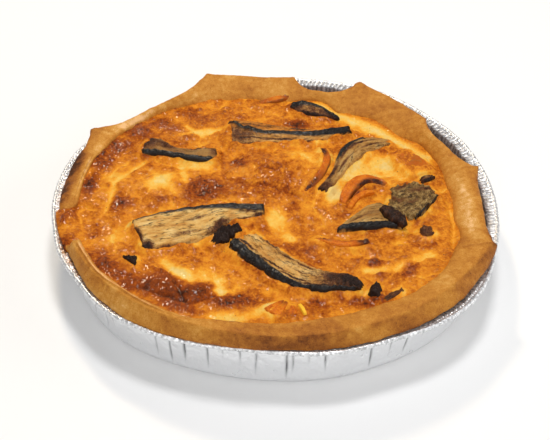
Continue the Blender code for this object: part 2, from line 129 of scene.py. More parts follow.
def add_piece(name, points, faces, numbers=None):
    """Make a smooth piece from points in millimetres, and keep its numbers for the material."""
    mesh = bpy.data.meshes.new(name)
    mesh.from_pydata((np.reshape(points, (-1, 3)) * MM).tolist(), [], faces)
    for key, values in (numbers or {}).items():
        mesh.attributes.new(key, "FLOAT", "POINT").data.foreach_set("value", np.ravel(values))
    mesh.shade_smooth()
    mesh.update()
    piece = bpy.data.objects.new(name, mesh)
    bpy.context.scene.collection.objects.link(piece)
    return piece


def closed_rings(rings):
    """Join rings into a closed skin, with a fan round a middle point at each end."""
    rows, columns = rings.shape[:2]
    row, column = np.meshgrid(np.arange(rows - 1), np.arange(columns), indexing="ij")
    following = (column + 1) % columns
    corners = [row * columns + column, row * columns + following,
               (row + 1) * columns + following, (row + 1) * columns + column]
    faces = np.stack(corners, -1).reshape(-1, 4).tolist()
    first, end = rows * columns, (rows - 1) * columns
    for column in range(columns):
        following = (column + 1) % columns
        faces.append([following, column, first])
        faces.append([end + column, end + following, first + 1])
    return np.vstack([rings.reshape(-1, 3), rings[0].mean(0), rings[-1].mean(0)]), faces


def with_ends(values, first=0.0, last=0.0):
    """Numbers for the points of closed rings, with one more for each middle point."""
    return np.append(np.ravel(values), [first, last])


def tin_rings():
    """Rings of the foil from the base up outside, over the bead and down inside."""
    angle = column_angles(TIN_COLUMNS)
    rim = RIM_RADIUS + rim_squash(angle)
    under = TIN_HEIGHT - FLANGE_DROP
    bend = np.radians(np.linspace(0, 75, 5))
    foot = [(tin_radius(angle, 0) - BASE_BEND * (1 - math.sin(t)), BASE_BEND * (1 - math.cos(t)))
            for t in bend]
    heights = np.linspace(BASE_BEND, under - 0.8, WALL_ROWS)
    outside = foot + [(tin_radius(angle, height), height) for height in heights]
    outside += [(tin_radius(angle, under) + 0.4, under - 0.15), (rim - BEAD, under)]
    bead = [(rim - BEAD / 2 * (1 - math.cos(t)), TIN_HEIGHT - BEAD / 2 * (1 - math.sin(t)))
            for t in np.radians(np.linspace(*BEAD_ROLL, 11))]
    inside = [(rim - BEAD, under + FOIL_SEEN), (tin_radius(angle, under) - FOIL_SEEN, under)]
    inside += [(radius - FOIL_SEEN, height) for radius, height in outside[WALL_ROWS + 4:4:-1]]
    inside += [(radius - FOIL_SEEN, height + FOIL_SEEN) for radius, height in foot[::-1]]
    rings = np.array([turned(angle, radius, height) for radius, height in outside + bead + inside])
    bead_end = len(outside) + len(bead)
    is_inside = np.zeros(rings.shape[:2])
    is_inside[len(outside):] = 0.5
    is_inside[bead_end:] = 1
    on_flange = np.zeros(rings.shape[:2])
    on_flange[bead_end - 1:bead_end + 4] = 1
    return rings, is_inside, on_flange


class Wire:
    """An output of a node. Arithmetic with it adds the nodes that work out the result."""

    def __init__(self, socket):
        self.socket = socket
        self.tree = socket.id_data

    def out(self, name):
        """Another output of the same node."""
        return Wire(self.socket.node.outputs[name])

    def __add__(self, other):
        return work_out("ADD", self, other)

    def __sub__(self, other):
        return work_out("SUBTRACT", self, other)

    def __rsub__(self, other):
        return work_out("SUBTRACT", other, self)

    def __mul__(self, other):
        return work_out("MULTIPLY", self, other)

    def __truediv__(self, other):
        return work_out("DIVIDE", self, other)

    def __pow__(self, other):
        return work_out("POWER", self, other)

    def __abs__(self):
        return work_out("ABSOLUTE", self)


def fill_inputs(node, fill):
    """Give a node's inputs their numbers or wires."""
    for key, value in fill.items():
        if isinstance(value, Wire):
            value.tree.links.new(value.socket, node.inputs[key])
        else:
            node.inputs[key].default_value = value


def add_node(tree, kind, fill=None, **settings):
    """Add a node with its settings and its inputs, and return the wire of its first output."""
    added = tree.nodes.new(kind)
    for name, value in settings.items():
        setattr(added, name, value)
    fill_inputs(added, fill or {})
    return Wire(added.outputs[0])


def work_out(operation, *numbers):
    """Add one step of arithmetic to the tree that its wires are in."""
    tree = next(number.tree for number in numbers if isinstance(number, Wire))
    return add_node(tree, "ShaderNodeMath", dict(enumerate(numbers)), operation=operation)


def ranged(value, low, high, out_low=0.0, out_high=1.0):
    """Stretch a range of a number to another range, and hold it there."""
    return add_node(value.tree, "ShaderNodeMapRange", {
        "Value": value, "From Min": low, "From Max": high, "To Min": out_low, "To Max": out_high})


def noise_at(place, scale, detail, **more):
    """Soft noise from 0 to 1, by its lumps for each unit of the place."""
    return add_node(place.tree, "ShaderNodeTexNoise", {
        "Vector": place, "Scale": scale, "Detail": detail, **more})


def mixed(share, first, second):
    """Mix two numbers by a share."""
    return add_node(share.tree, "ShaderNodeMix", {0: share, 2: first, 3: second})


def mixed_colour(share, first, second):
    """Mix two colours, wires or plain ones, by a share."""
    first, second = [item if isinstance(item, Wire) else (*item, 1) for item in (first, second)]
    return add_node(share.tree, "ShaderNodeMix", {0: share, 6: first, 7: second}, data_type="RGBA").out(2)


def new_tree(name, kind, inputs, outputs):
    """Start a node tree: return it, the wire of its first input, and its output node."""
    tree = bpy.data.node_groups.new(name, kind)
    for way, sockets in (("INPUT", inputs), ("OUTPUT", outputs)):
        for key, sort in sockets.items():
            tree.interface.new_socket(key, in_out=way, socket_type="NodeSocket" + sort)
    return tree, Wire(tree.nodes.new("NodeGroupInput").outputs[0]), tree.nodes.new("NodeGroupOutput")


def close_tree(given, result, geometry):
    """End a geometry tree with real points and its material."""
    whole = add_node(given.tree, "GeometryNodeRealizeInstances", {0: geometry})
    painted = add_node(given.tree, "GeometryNodeSetMaterial", {0: whole, "Material": given.out("Material")})
    fill_inputs(result, {0: painted})
    return given.tree


def named_number(tree, name):
    """Read a number that was stored on the points, in a geometry tree."""
    return add_node(tree, "GeometryNodeInputNamedAttribute", {"Name": name}, data_type="FLOAT")


def vector_step(operation, first, fill=None):
    """Add one step of arithmetic with vectors to a tree."""
    return add_node(first.tree, "ShaderNodeVectorMath", {0: first, **(fill or {})}, operation=operation)


def pleating_tree():
    """Fold the tin's smooth wall into pleats: deep flutes inside, thin creases outside, and store painted
    shade along them.
    """
    depths = {name: "Float" for name in ("Flute Depth", "Crease Depth", "Dent Depth", "Ridge Height")}
    tree, given, result = new_tree("foil_pleats", "GeometryNodeTree", {
        "Geometry": "Geometry", "Pleats": "Float", **depths, "Material": "Material",
    }, {"Geometry": "Geometry"})
    position = add_node(tree, "GeometryNodeInputPosition")
    x = add_node(tree, "ShaderNodeSeparateXYZ", {0: position})
    y, z = x.out(1), x.out(2)
    wander = noise_at(vector_step("MULTIPLY", position, {1: (1, 1, 0.35)}), 110.0, 2.0)
    around = work_out("ARCTAN2", y, x) / (2 * math.pi)
    phase = around * given.out("Pleats") + (wander * 1.5 + 200.0)
    number = work_out("FLOOR", phase)
    chance = add_node(tree, "ShaderNodeTexWhiteNoise", {"W": number}, noise_dimensions="1D").out("Value")
    peak = 1.0 - abs(work_out("FRACT", phase) * 2.0 - 1.0)
    flute = peak * (chance * 0.8 + 0.45) * given.out("Flute Depth")
    turn = work_out("FRACT", number * CREASED_SHARE + chance * 0.3)
    chosen = work_out("LESS_THAN", turn, CREASED_SHARE) * (chance * 0.7 + 0.5)
    crease_end = work_out("FRACT", chance * 37.0) * (CREASE_START * MM)
    notch = peak ** 3.5 * chosen * ranged(z - crease_end, 0.0, CREASE_FADE * MM)
    dent = (noise_at(position, 45.0, 2.0) - 0.5) * given.out("Dent Depth")
    is_inside, pleated = named_number(tree, "is_inside"), named_number(tree, "pleated")
    outer = dent - notch * given.out("Crease Depth")
    moved = mixed(is_inside, outer, flute * -1.0) * pleated
    outward = vector_step("NORMALIZE", add_node(tree, "ShaderNodeCombineXYZ", {0: x, 1: y}))
    ridge = peak * given.out("Ridge Height") * named_number(tree, "on_flange")
    lifted = add_node(tree, "ShaderNodeCombineXYZ", {2: ridge})
    offset = vector_step("ADD", vector_step("SCALE", outward, {"Scale": moved}), {1: lifted})
    # The fold number is painted shade, darkening the creases outside and the flutes inside
    fold = mixed(is_inside, notch, peak ** 2.0) * pleated
    kept = add_node(tree, "GeometryNodeStoreNamedAttribute", {
        "Geometry": given, "Name": "fold", "Value": fold}, data_type="FLOAT", domain="POINT")
    pressed = add_node(tree, "GeometryNodeSetPosition", {"Geometry": kept, "Offset": offset})
    return close_tree(given, result, pressed)


def apply_tree(piece, tree, values):
    """Run a geometry tree on a piece and keep the result as a plain mesh under the same name."""
    modifier = piece.modifiers.new("tree", "NODES")
    modifier.node_group = tree
    for socket in tree.interface.items_tree:
        if socket.in_out == "INPUT" and socket.name in values:
            modifier[socket.identifier] = values[socket.name]
    graph = bpy.context.evaluated_depsgraph_get()
    ready = piece.evaluated_get(graph)
    mesh = bpy.data.meshes.new_from_object(ready, preserve_all_data_layers=True, depsgraph=graph)
    piece.modifiers.remove(modifier)
    piece.data = mesh


def new_material(name, values):
    """Start a material and return it with its tree and its surface shader, values set."""
    material = bpy.data.materials.new(name)
    material.use_nodes = True
    surface = material.node_tree.nodes["Principled BSDF"]
    fill_inputs(surface, values)
    return material, material.node_tree, surface


def stored(tree, name):
    """Read a number that was stored on the points, in a material."""
    return add_node(tree, "ShaderNodeAttribute", attribute_name=name).out("Fac")


def object_place(tree):
    """The place on the object, in metres."""
    return add_node(tree, "ShaderNodeTexCoord").out("Object")


def grain_group():
    """Uneven grain at two sizes, used by every finish: a shade from 0 to 1 and a height."""
    tree, place, result = new_tree("uneven_grain", "ShaderNodeTree", {
        "Vector": "Vector", "Coarse": "Float", "Fine": "Float"}, {"Shade": "Float", "Height": "Float"})
    coarse = noise_at(place, place.out("Coarse"), 3.0, Distortion=0.4)
    both = noise_at(place, place.out("Fine"), 4.0) * 0.5 + coarse * 0.5
    fill_inputs(result, {"Shade": ranged(both, 0.32, 0.68), "Height": both})
    return tree


GRAIN = grain_group()


def grain(tree, coarse, fine):
    """Return the shade and the height of the grain at two sizes, in lumps per metre."""
    fill = {"Vector": object_place(tree), "Coarse": coarse, "Fine": fine}
    shade = add_node(tree, "ShaderNodeGroup", fill, node_tree=GRAIN)
    return shade, shade.out("Height")


def bump(height, distance, strength):
    """The slope of a surface that is raised by a height, in metres."""
    return add_node(height.tree, "ShaderNodeBump", {
        "Height": height, "Distance": distance, "Strength": strength})


def foil_material():
    """Satin aluminium with fine crinkles, stained where drips have baked on, with a faint painted reflection
    of the crust round the flange and painted shade in its creases, flutes and crinkles.
    """
    material, tree, surface = new_material("aluminium_foil", {})
    shade, height = grain(tree, 110.0, 520.0)
    # Baked drips, and in the faint trace all round the flange also painted reflection of the crust
    stain_and_reflection = work_out("MAXIMUM", stored(tree, "stain_and_reflection") * (shade * 1.6 - 0.2), 0.0)
    stain_and_reflection = work_out("MINIMUM", stain_and_reflection, 1.0)
    # Painted shade of crinkles, in grey patches on the bead and the flange
    crumple_shade = ranged(grain(tree, 330.0, 900.0)[0], 0.40, 0.70, 0.0, 0.62) * stored(tree, "crumpled")
    folded = mixed_colour(stored(tree, "fold"), FOIL_COLOUR, CREASE_SHADE_COLOUR)
    folded = mixed_colour(crumple_shade, folded, CRUMPLE_SHADE_COLOUR)
    dulled = work_out("MAXIMUM", stored(tree, "is_inside") * 0.40 + 0.15, stain_and_reflection * 0.9)
    fill_inputs(surface, {
        "Base Color": mixed_colour(stain_and_reflection, folded, DRIP_COLOUR),
        "Metallic": 1.0 - dulled,
        "Roughness": shade * 0.16 + 0.26,
        "Normal": bump(height, 0.0013, 0.8),
    })
    return material


tin_points, tin_inside, tin_flange = tin_rings()
tin_heights = tin_points[..., 2]
tin_turn = np.degrees(np.arctan2(tin_points[..., 1], tin_points[..., 0])) % 360
tin_pleated = smooth_step((tin_heights - 1.5) / 6) * smooth_step((TIN_HEIGHT - 0.9 - tin_heights) / 2.5)
tin_pleated = np.maximum(tin_pleated, FLANGE_PLEATED * tin_flange)
on_bead = tin_inside == 0.5
tin_skin, tin_faces = closed_rings(tin_points)
foil_tin = add_piece("foil_tin_pleated", tin_skin, tin_faces, {
    "is_inside": with_ends(tin_inside, 0.0, 1.0),
    "pleated": with_ends(np.where(on_bead, BEAD_PLEATED, tin_pleated)),
    "on_flange": with_ends(tin_flange),
    "crumpled": with_ends(np.where(on_bead, BEAD_CRUMPLED, tin_flange)),
    "stain_and_reflection": with_ends(tin_flange * (DRIP_TRACE_AND_REFLECTION + DRIP_STAIN[2] * swelling(tin_turn, *DRIP_STAIN[:2]))),
})
apply_tree(foil_tin, pleating_tree(), {
    "Pleats": float(PLEATS),
    "Flute Depth": FLUTE_DEPTH * MM,
    "Crease Depth": CREASE_DEPTH * MM,
    "Dent Depth": DENT_DEPTH * MM,
    "Ridge Height": RIDGE_HEIGHT * MM,
    "Material": foil_material(),
})
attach(foil_tin, "root")
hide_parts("foil_tin")

# Pastry case
# Shortcrust pastry pressed by hand into the tin, so its thick edge wanders in and out and stands
# up in corners. It bakes golden on top and browner outside, with a flap folded over at the front.
# Part of the outer flank's brown is painted shade, and some paler places are painted light.
CRUST_COLUMNS = 900
FLOOR_THICK = 3.0
WALL_THICK = 4.5
LAYER_GAP = 0.35
TIN_CLEARANCE = 1.1
WALL_HEIGHT = 17.0
NECK_HEIGHT = 25.5
LEAN_INWARD = 3.0
OVER_FLANGE = 28.5
LIP_THICK = 0.4
LIP_DROP = 3.5
LIP_SAG = 1.0
NECK_DROP = 5.0
FLANK_HEIGHT = 4.5
FRONT_HANG = (258, 90, 4.2)
EDGE_ROUND = 0.8
EDGE_SLUMP = 0.14
LEFT_SLUMP = (176, 16, 0.5)
SHOULDER_RISE = 0.72
# Corners of the outer edge: angle, radius, height, and how far the stretch after it sags in and down
CRUST_CORNERS = (
    (10.5, 106.2, 36.2, 7.4, 0.2), (37.5, 101.6, 37.4, 0.4, 1.4), (64.5, 107.6, 37.5, 10.6, 2.5),
    (85.5, 101.8, 37, 3.6, 0.3), (112.5, 110.8, 37.5, 12.2, 1.4), (155.5, 112.2, 35.6, 1, 0.3),
    (164, 108.8, 34.8, 0, 0), (172, 109.4, 34.2, 0, 0), (184, 110.4, 33.2, 0, 0),
    (187.6, 110.6, 31.6, 0, 0), (189.6, 110.4, 29.4, 0, 0), (204.2, 111, 29.4, 0, 0),
    (205.8, 110.4, 35.6, 0, 0), (219, 112, 36.8, 0, 0), (264, 111.6, 37, 0, 0), (327, 112, 37, 0, 0),
    (337.5, 113.8, 37.2, 6.6, 0.8),
)
# Where custard meets crust: angle, radius, height, and the crust's highest place on the way out
CUSTARD_EDGE = (
    (6, 87.5, 31, 0.55), (27, 89, 30.5, 0.65), (42, 84.5, 30, 0.75), (54, 86.5, 30, 0.8),
    (66, 82.5, 30, 0.85), (75, 88, 30.5, 0.75), (90, 83, 31, 0.85), (105, 89, 30.5, 0.88),
    (120, 93.5, 30.5, 0.8), (138, 95.6, 31.5, 0.6), (155, 97.8, 32, 0.7), (162, 98.2, 32.2, 0.45),
    (168, 99.3, 32.2, 0.2), (175, 99.7, 32, 0.2), (183, 100.6, 31.8, 0.28), (187, 101.4, 31, 0.34),
    (190, 106.4, 28.6, 0.5), (204.2, 109, 28.6, 0.5), (206, 105, 34.4, 0.55), (222, 106, 34.8, 0.6),
    (246, 106, 35, 0.6), (261, 101.5, 34.8, 0.66), (288, 98.5, 34.3, 0.72), (318, 100, 34, 0.74),
    (336, 96.5, 32.5, 0.76), (351, 89.5, 31.2, 0.66),
)
# Bulges of the outer side: angle, spread and how far outwards
BULGES = ((230, 34, 2.8), (294, 18, 1.6), (318, 30, 3.6), (0, 24, 0.6))
BULGE_DROP = 0.25
FLAP = (263, 287)
FLAP_RISE = 0.8
THIN_LIP = (206, 247)
LIP_RISE = 0.9
GROOVE_DEPTH = 0.8
CRUST_STEPS = (2, 2, 5, 10, 9, 8, 5, 5, 3, 2, 2, 2)
BASE_BROWN = 0.33
CRUST_TONES = (
    (0, (0.8, 0.47, 0.2)),
    (0.18, (0.61, 0.3, 0.062)),
    (0.35, (0.5, 0.205, 0.027)),
    (0.55, (0.365, 0.127, 0.016)),
    (0.75, (0.21, 0.062, 0.009)),
    (1, (0.07, 0.022, 0.006)),
)
# Patches that baked browner or paler: angle, place across, spread of both, and amount. The paler ones at 145
# and 224 degrees are painted light on faces turned from the lamps, and the one at 342 degrees is a painted
# highlight.
CRUST_PATCHES = (
    (169, 5.95, 4, 0.5, 0.66), (176, 6, 6, 0.6, 0.46), (183, 6, 5, 0.6, 0.44), (163, 6.1, 3, 0.4, 0.18),
    (174, 4.2, 10, 0.9, -0.2), (145, 3.9, 16, 0.9, -0.24), (50, 5, 14, 1.5, 0.09),
    (280, 4.8, 22, 1.2, 0.07), (224, 7.4, 20, 0.9, -0.34), (262, 5.6, 2.4, 1.2, 0.2),
    (270, 6.6, 8, 0.6, 0.16), (286, 6, 2, 1.4, 0.14), (300, 6.6, 3, 0.7, 0.12), (336, 6.2, 6, 0.9, 0.16),
    (341, 6, 3, 1.2, 0.16), (352, 4.6, 13, 0.7, -0.2), (342, 3.9, 5, 0.5, -0.22), (10, 4.4, 10, 0.7, -0.1),
    (222, 6.4, 14, 0.7, 0.1), (64, 6.2, 9, 1, 0.1), (112, 6.4, 6, 1.2, 0.1), (155, 6, 5, 1.2, 0.08),
)
# Creases pressed in as the edge was folded: angle and place of both ends, width and depth
CRUST_CREASES = (
    (337.6, 6.4, 333, 3.9, 0.8, 0.9), (339.5, 6.2, 341.5, 4.2, 0.7, 0.6), (64.5, 6.3, 66.5, 4, 0.8, 0.5),
    (11, 6.3, 9, 4.2, 0.8, 0.6), (155.5, 6.2, 153.5, 4, 0.8, 0.5), (286, 6.6, 289.5, 3.8, 0.6, 0.5),
)


def lumps(points, size, seed, octaves=1):
    """Smooth noise of about -1 to 1 whose lumps are about one size across, in millimetres."""
    moved = np.reshape(points, (-1, 3)) / size + 17.3 * seed
    found = (noise.fractal(spot, 1.0, 2.0, octaves) for spot in moved.tolist())
    return np.fromiter(found, float, len(moved)).reshape(np.shape(points)[:-1])


def rows_around(angle, rows):
    """For each angle: the row before it, the row after it and the share of the way between."""
    table = np.array(rows, float)
    after = np.searchsorted(table[:, 0], angle, side="right") % len(table)
    before = after - 1
    span = (table[after, 0] - table[before, 0]) % 360
    return table[before], table[after], ((angle - table[before, 0]) % 360) / span


def crust_edge(angle):
    """Reach and height of the crust's outer edge: corners joined by sagging stretches."""
    start, end, share = rows_around(angle, CRUST_CORNERS)
    sag = 1 - np.abs(2 * share - 1) ** 3
    return [start[:, item] + (end[:, item] - start[:, item]) * share - start[:, item + 2] * sag
            for item in (1, 2)]


def custard_edge(angle):
    """Radius and height at which the custard meets the crust, and where the crust is highest."""
    start, end, share = rows_around(angle, CUSTARD_EDGE)
    share = smooth_step(share)
    return [start[:, item] + (end[:, item] - start[:, item]) * share for item in (1, 2, 3)]


def crust_controls(angle):
    """Radius and height of the points that the crust's section passes through."""
    reach, height = crust_edge(angle)
    edge_radius, edge_height, across = custard_edge(angle)
    wall_top = tin_radius(angle, TIN_HEIGHT) - FOIL
    wall = np.minimum(tin_radius(angle, WALL_HEIGHT) - FOIL - TIN_CLEARANCE, reach - EDGE_ROUND)
    inner = np.minimum(edge_radius + LEAN_INWARD, wall - WALL_THICK)
    neck = np.minimum(0.5 * (inner + edge_radius), wall - 0.7 * WALL_THICK)
    ridge = edge_radius + across * (reach - edge_radius)
    inside_tin = 1 - smooth_step((reach - wall_top + 4 * TIN_CLEARANCE) / (2 * TIN_CLEARANCE))
    bulge = sum(amount * swelling(angle, middle, spread) for middle, spread, amount in BULGES)
    hang = FLANK_HEIGHT + FRONT_HANG[2] * swelling(angle, *FRONT_HANG[:2])
    flank = np.maximum(height - hang, OVER_FLANGE + LIP_THICK) - BULGE_DROP * bulge
    slump = EDGE_SLUMP + LEFT_SLUMP[2] * swelling(angle, *LEFT_SLUMP[:2])
    lip_reach = np.minimum(reach, wall_top + FLANGE_WIDTH - BEAD - TIN_CLEARANCE)
    foot = tin_radius(angle, BASE_BEND) - FOIL - TIN_CLEARANCE
    under = FOIL + LAYER_GAP
    return [
        (BASE_RADIUS - 12, under + FLOOR_THICK + 0 * angle),
        (inner, WALL_HEIGHT),
        (neck, NECK_HEIGHT),
        (edge_radius, edge_height),
        (0.5 * (edge_radius + ridge), edge_height + SHOULDER_RISE * (height - edge_height)),
        (ridge, height),
        (reach - EDGE_ROUND, height - slump * (height - flank)),
        (reach + bulge, flank),
        (lip_reach - LIP_THICK, OVER_FLANGE - LIP_SAG + LIP_THICK - inside_tin * LIP_DROP),
        (np.minimum(wall_top, reach) - 1.5 * TIN_CLEARANCE, OVER_FLANGE - inside_tin * NECK_DROP),
        (wall, WALL_HEIGHT),
        (foot, BASE_BEND + 1.5),
        (foot - BASE_BEND - 1.5, under),
    ]


def threaded(controls, steps):
    """Thread a smooth curve through control points, with a number of steps between each two."""
    table = np.array([np.stack(np.broadcast_arrays(*pair), -1) for pair in controls])
    padded = np.concatenate([table[:1], table, table[-1:]])
    rows, places = [], []
    for index, count in enumerate(steps):
        before, start, end, after = padded[index:index + 4]
        for share in np.arange(count) / count:
            rows.append((2 * start + (end - before) * share
                         + (2 * before - 5 * start + 4 * end - after) * share ** 2
                         + (3 * start - before - 3 * end + after) * share ** 3) / 2)
            places.append(index + share)
    return np.array(rows + [table[-1]]), np.array(places + [len(steps)])[:, None]


def grid_normals(rings):
    """Directions that point out of a grid of rings."""
    along = np.roll(rings, -1, 1) - np.roll(rings, 1, 1)
    normals = np.cross(along, np.gradient(rings, axis=0))
    return normals / np.maximum(np.linalg.norm(normals, axis=-1, keepdims=True), 1e-9)


def pressed_creases(rings, angle, place):
    """Depth of the creases that were pressed in as the edge was folded."""
    crease = np.zeros(rings.shape[:2])
    wander = 0.6 * lumps(rings, 6, 44)
    for turn, start, end_turn, end, width, depth in CRUST_CREASES:
        along = np.clip((place - start) / (end - start), 0, 1)
        middle = turn + (end_turn - turn) * along + wander
        over = np.maximum(np.abs(place - 0.5 * (start + end)) - 0.5 * abs(end - start), 0)
        away = np.radians(apart(angle, middle)) * RIM_RADIUS / width
        crease = np.maximum(crease, depth * np.exp(-away ** 2 - (over / 0.3) ** 2))
    return crease


def crust_rings():
    """Rings of the whole case, with its relief, and how brown each point is baked, with painted light mixed
    in.
    """
    angle = column_angles(CRUST_COLUMNS)
    profile, place = threaded(crust_controls(angle), CRUST_STEPS)
    rings = np.array([turned(angle, row[:, 0], row[:, 1]) for row in profile])
    seen = smooth_step((place - 2.5) / 0.7) * smooth_step((8.6 - place) / 0.8)
    on_top = smooth_step((place - 3.2) / 0.8) * smooth_step((7.3 - place) / 0.5)
    flap_end = FLAP[1] - 1.1 * ((place - 5.4) / 1.5) ** 2
    flap_start = FLAP[0] - 2 * lumps(rings, 5, 8, 2)
    flap = smooth_step((angle - flap_start) / 4) * smooth_step((flap_end - angle) / 1.4) * on_top
    lip_with_highlight = smooth_step((angle - THIN_LIP[0]) / 2) * smooth_step((THIN_LIP[1] - angle) / 10)
    # A groove beside the lip, sunk and browned as the lip's painted shadow
    shadowed_groove = lip_with_highlight * np.exp(-((place - 4.7 + 0.25 * lumps(rings, 12, 45)) / 0.22) ** 2)
    lip_with_highlight = lip_with_highlight * np.exp(-((place - 3.7) / 0.42) ** 2)
    pressed = 0.65 * lumps(rings, 17, 1) + 0.34 * lumps(rings, 5.5, 2, 2) + 0.10 * lumps(rings, 1.6, 3)
    crease = pressed_creases(rings, angle, place)
    relief = seen * pressed + FLAP_RISE * flap + LIP_RISE * lip_with_highlight - GROOVE_DEPTH * shadowed_groove - crease
    rings = rings + grid_normals(rings) * relief[..., None]
    worn = np.exp(-((place - 6.0) / 0.45) ** 2) * np.clip(0.3 + 1.3 * lumps(rings, 9, 6, 3), 0, 1)
    # Browner down the outer flank, partly from baking and partly painted shade, and in a thin line at the
    # custard's edge
    brown_and_painted_light = BASE_BROWN + 0.26 * smooth_step((place - 6.2) / 1.2) + 0.05 * np.exp(-((place - 3.2) / 0.25) ** 2)
    brown_and_painted_light = brown_and_painted_light + 0.16 * lumps(rings, 15, 4, 3) + 0.05 * lumps(rings, 3, 5, 2) + 0.16 * crease
    # The thin lip is paler partly as painted highlight on its raised top
    brown_and_painted_light = brown_and_painted_light + 0.15 * flap - 0.42 * lip_with_highlight + 0.16 * shadowed_groove + 0.22 * worn
    mottled = 1 + 0.8 * lumps(rings, 3.5, 9, 2)
    for turn, middle, turn_spread, spread, amount in CRUST_PATCHES:
        away = (apart(angle, turn) / turn_spread) ** 2 + ((place - middle) / spread) ** 2
        brown_and_painted_light = brown_and_painted_light + amount * np.exp(-away) * mottled
    return rings, brown_and_painted_light


def ramp(factor, stops):
    """Turn a number into a colour by stops along a scale."""
    added = add_node(factor.tree, "ShaderNodeValToRGB", {0: factor})
    elements = added.socket.node.color_ramp.elements
    while len(elements) < len(stops):
        elements.new(0.5)
    for element, (position, colour) in zip(elements, stops):
        element.position = position
        element.color = (*colour, 1)
    return added


def cell_distance(tree, scale):
    """Distance to the nearest of many scattered points, by their number per metre."""
    return add_node(tree, "ShaderNodeTexVoronoi", {
        "Vector": object_place(tree), "Scale": scale, "Randomness": 1.0}).out("Distance")


def crust_material():
    """Matt golden pastry with fine grain, small dark specks and browner edges, with painted shade and
    highlights in its colour.
    """
    material, tree, surface = new_material("baked_shortcrust", {"Specular IOR Level": 0.14})
    shade, height = grain(tree, 420.0, 1700.0)
    speck = ranged(cell_distance(tree, 520.0), 0.10, 0.20, 0.16, 0.0)
    tone = (shade - 0.5) * 0.30 + stored(tree, "brown_and_painted_light") + speck
    fill_inputs(surface, {
        "Base Color": ramp(tone, CRUST_TONES),
        "Roughness": shade * 0.2 + 0.5,
        "Normal": bump(height, 0.0007, 0.8),
    })
    return material


crust_points, crust_brown_and_painted_light = crust_rings()
crust_skin, crust_faces = closed_rings(crust_points)
pastry_case = add_piece("pastry_case_baked", crust_skin, crust_faces, {"brown_and_painted_light": with_ends(crust_brown_and_painted_light)})
pastry_case.data.materials.append(crust_material())
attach(pastry_case, "root")
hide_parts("pastry_case")

# Vegetable slices
# Aubergine and pumpkin cut by hand and roasted before they went in, so they have shrivelled and
# scorched. They were laid on the custard and half sank while it set.
SLICE_STEP = 0.45
SUNK = 2.6
UNDER_POINTS = 7
# What a slice has unless its own look says otherwise
PLAIN_SLICE = {
    "straight": False, "scorch": (), "burnt": 0, "wrinkle": 0, "torn": 0.6, "ragged": 0, "ribs": 0,
    "tilt": 0, "lift": 0, "lap": 0.45, "crept": 0, "soaked": 0, "covered": 0, "green": 0, "yellow": 0,
}
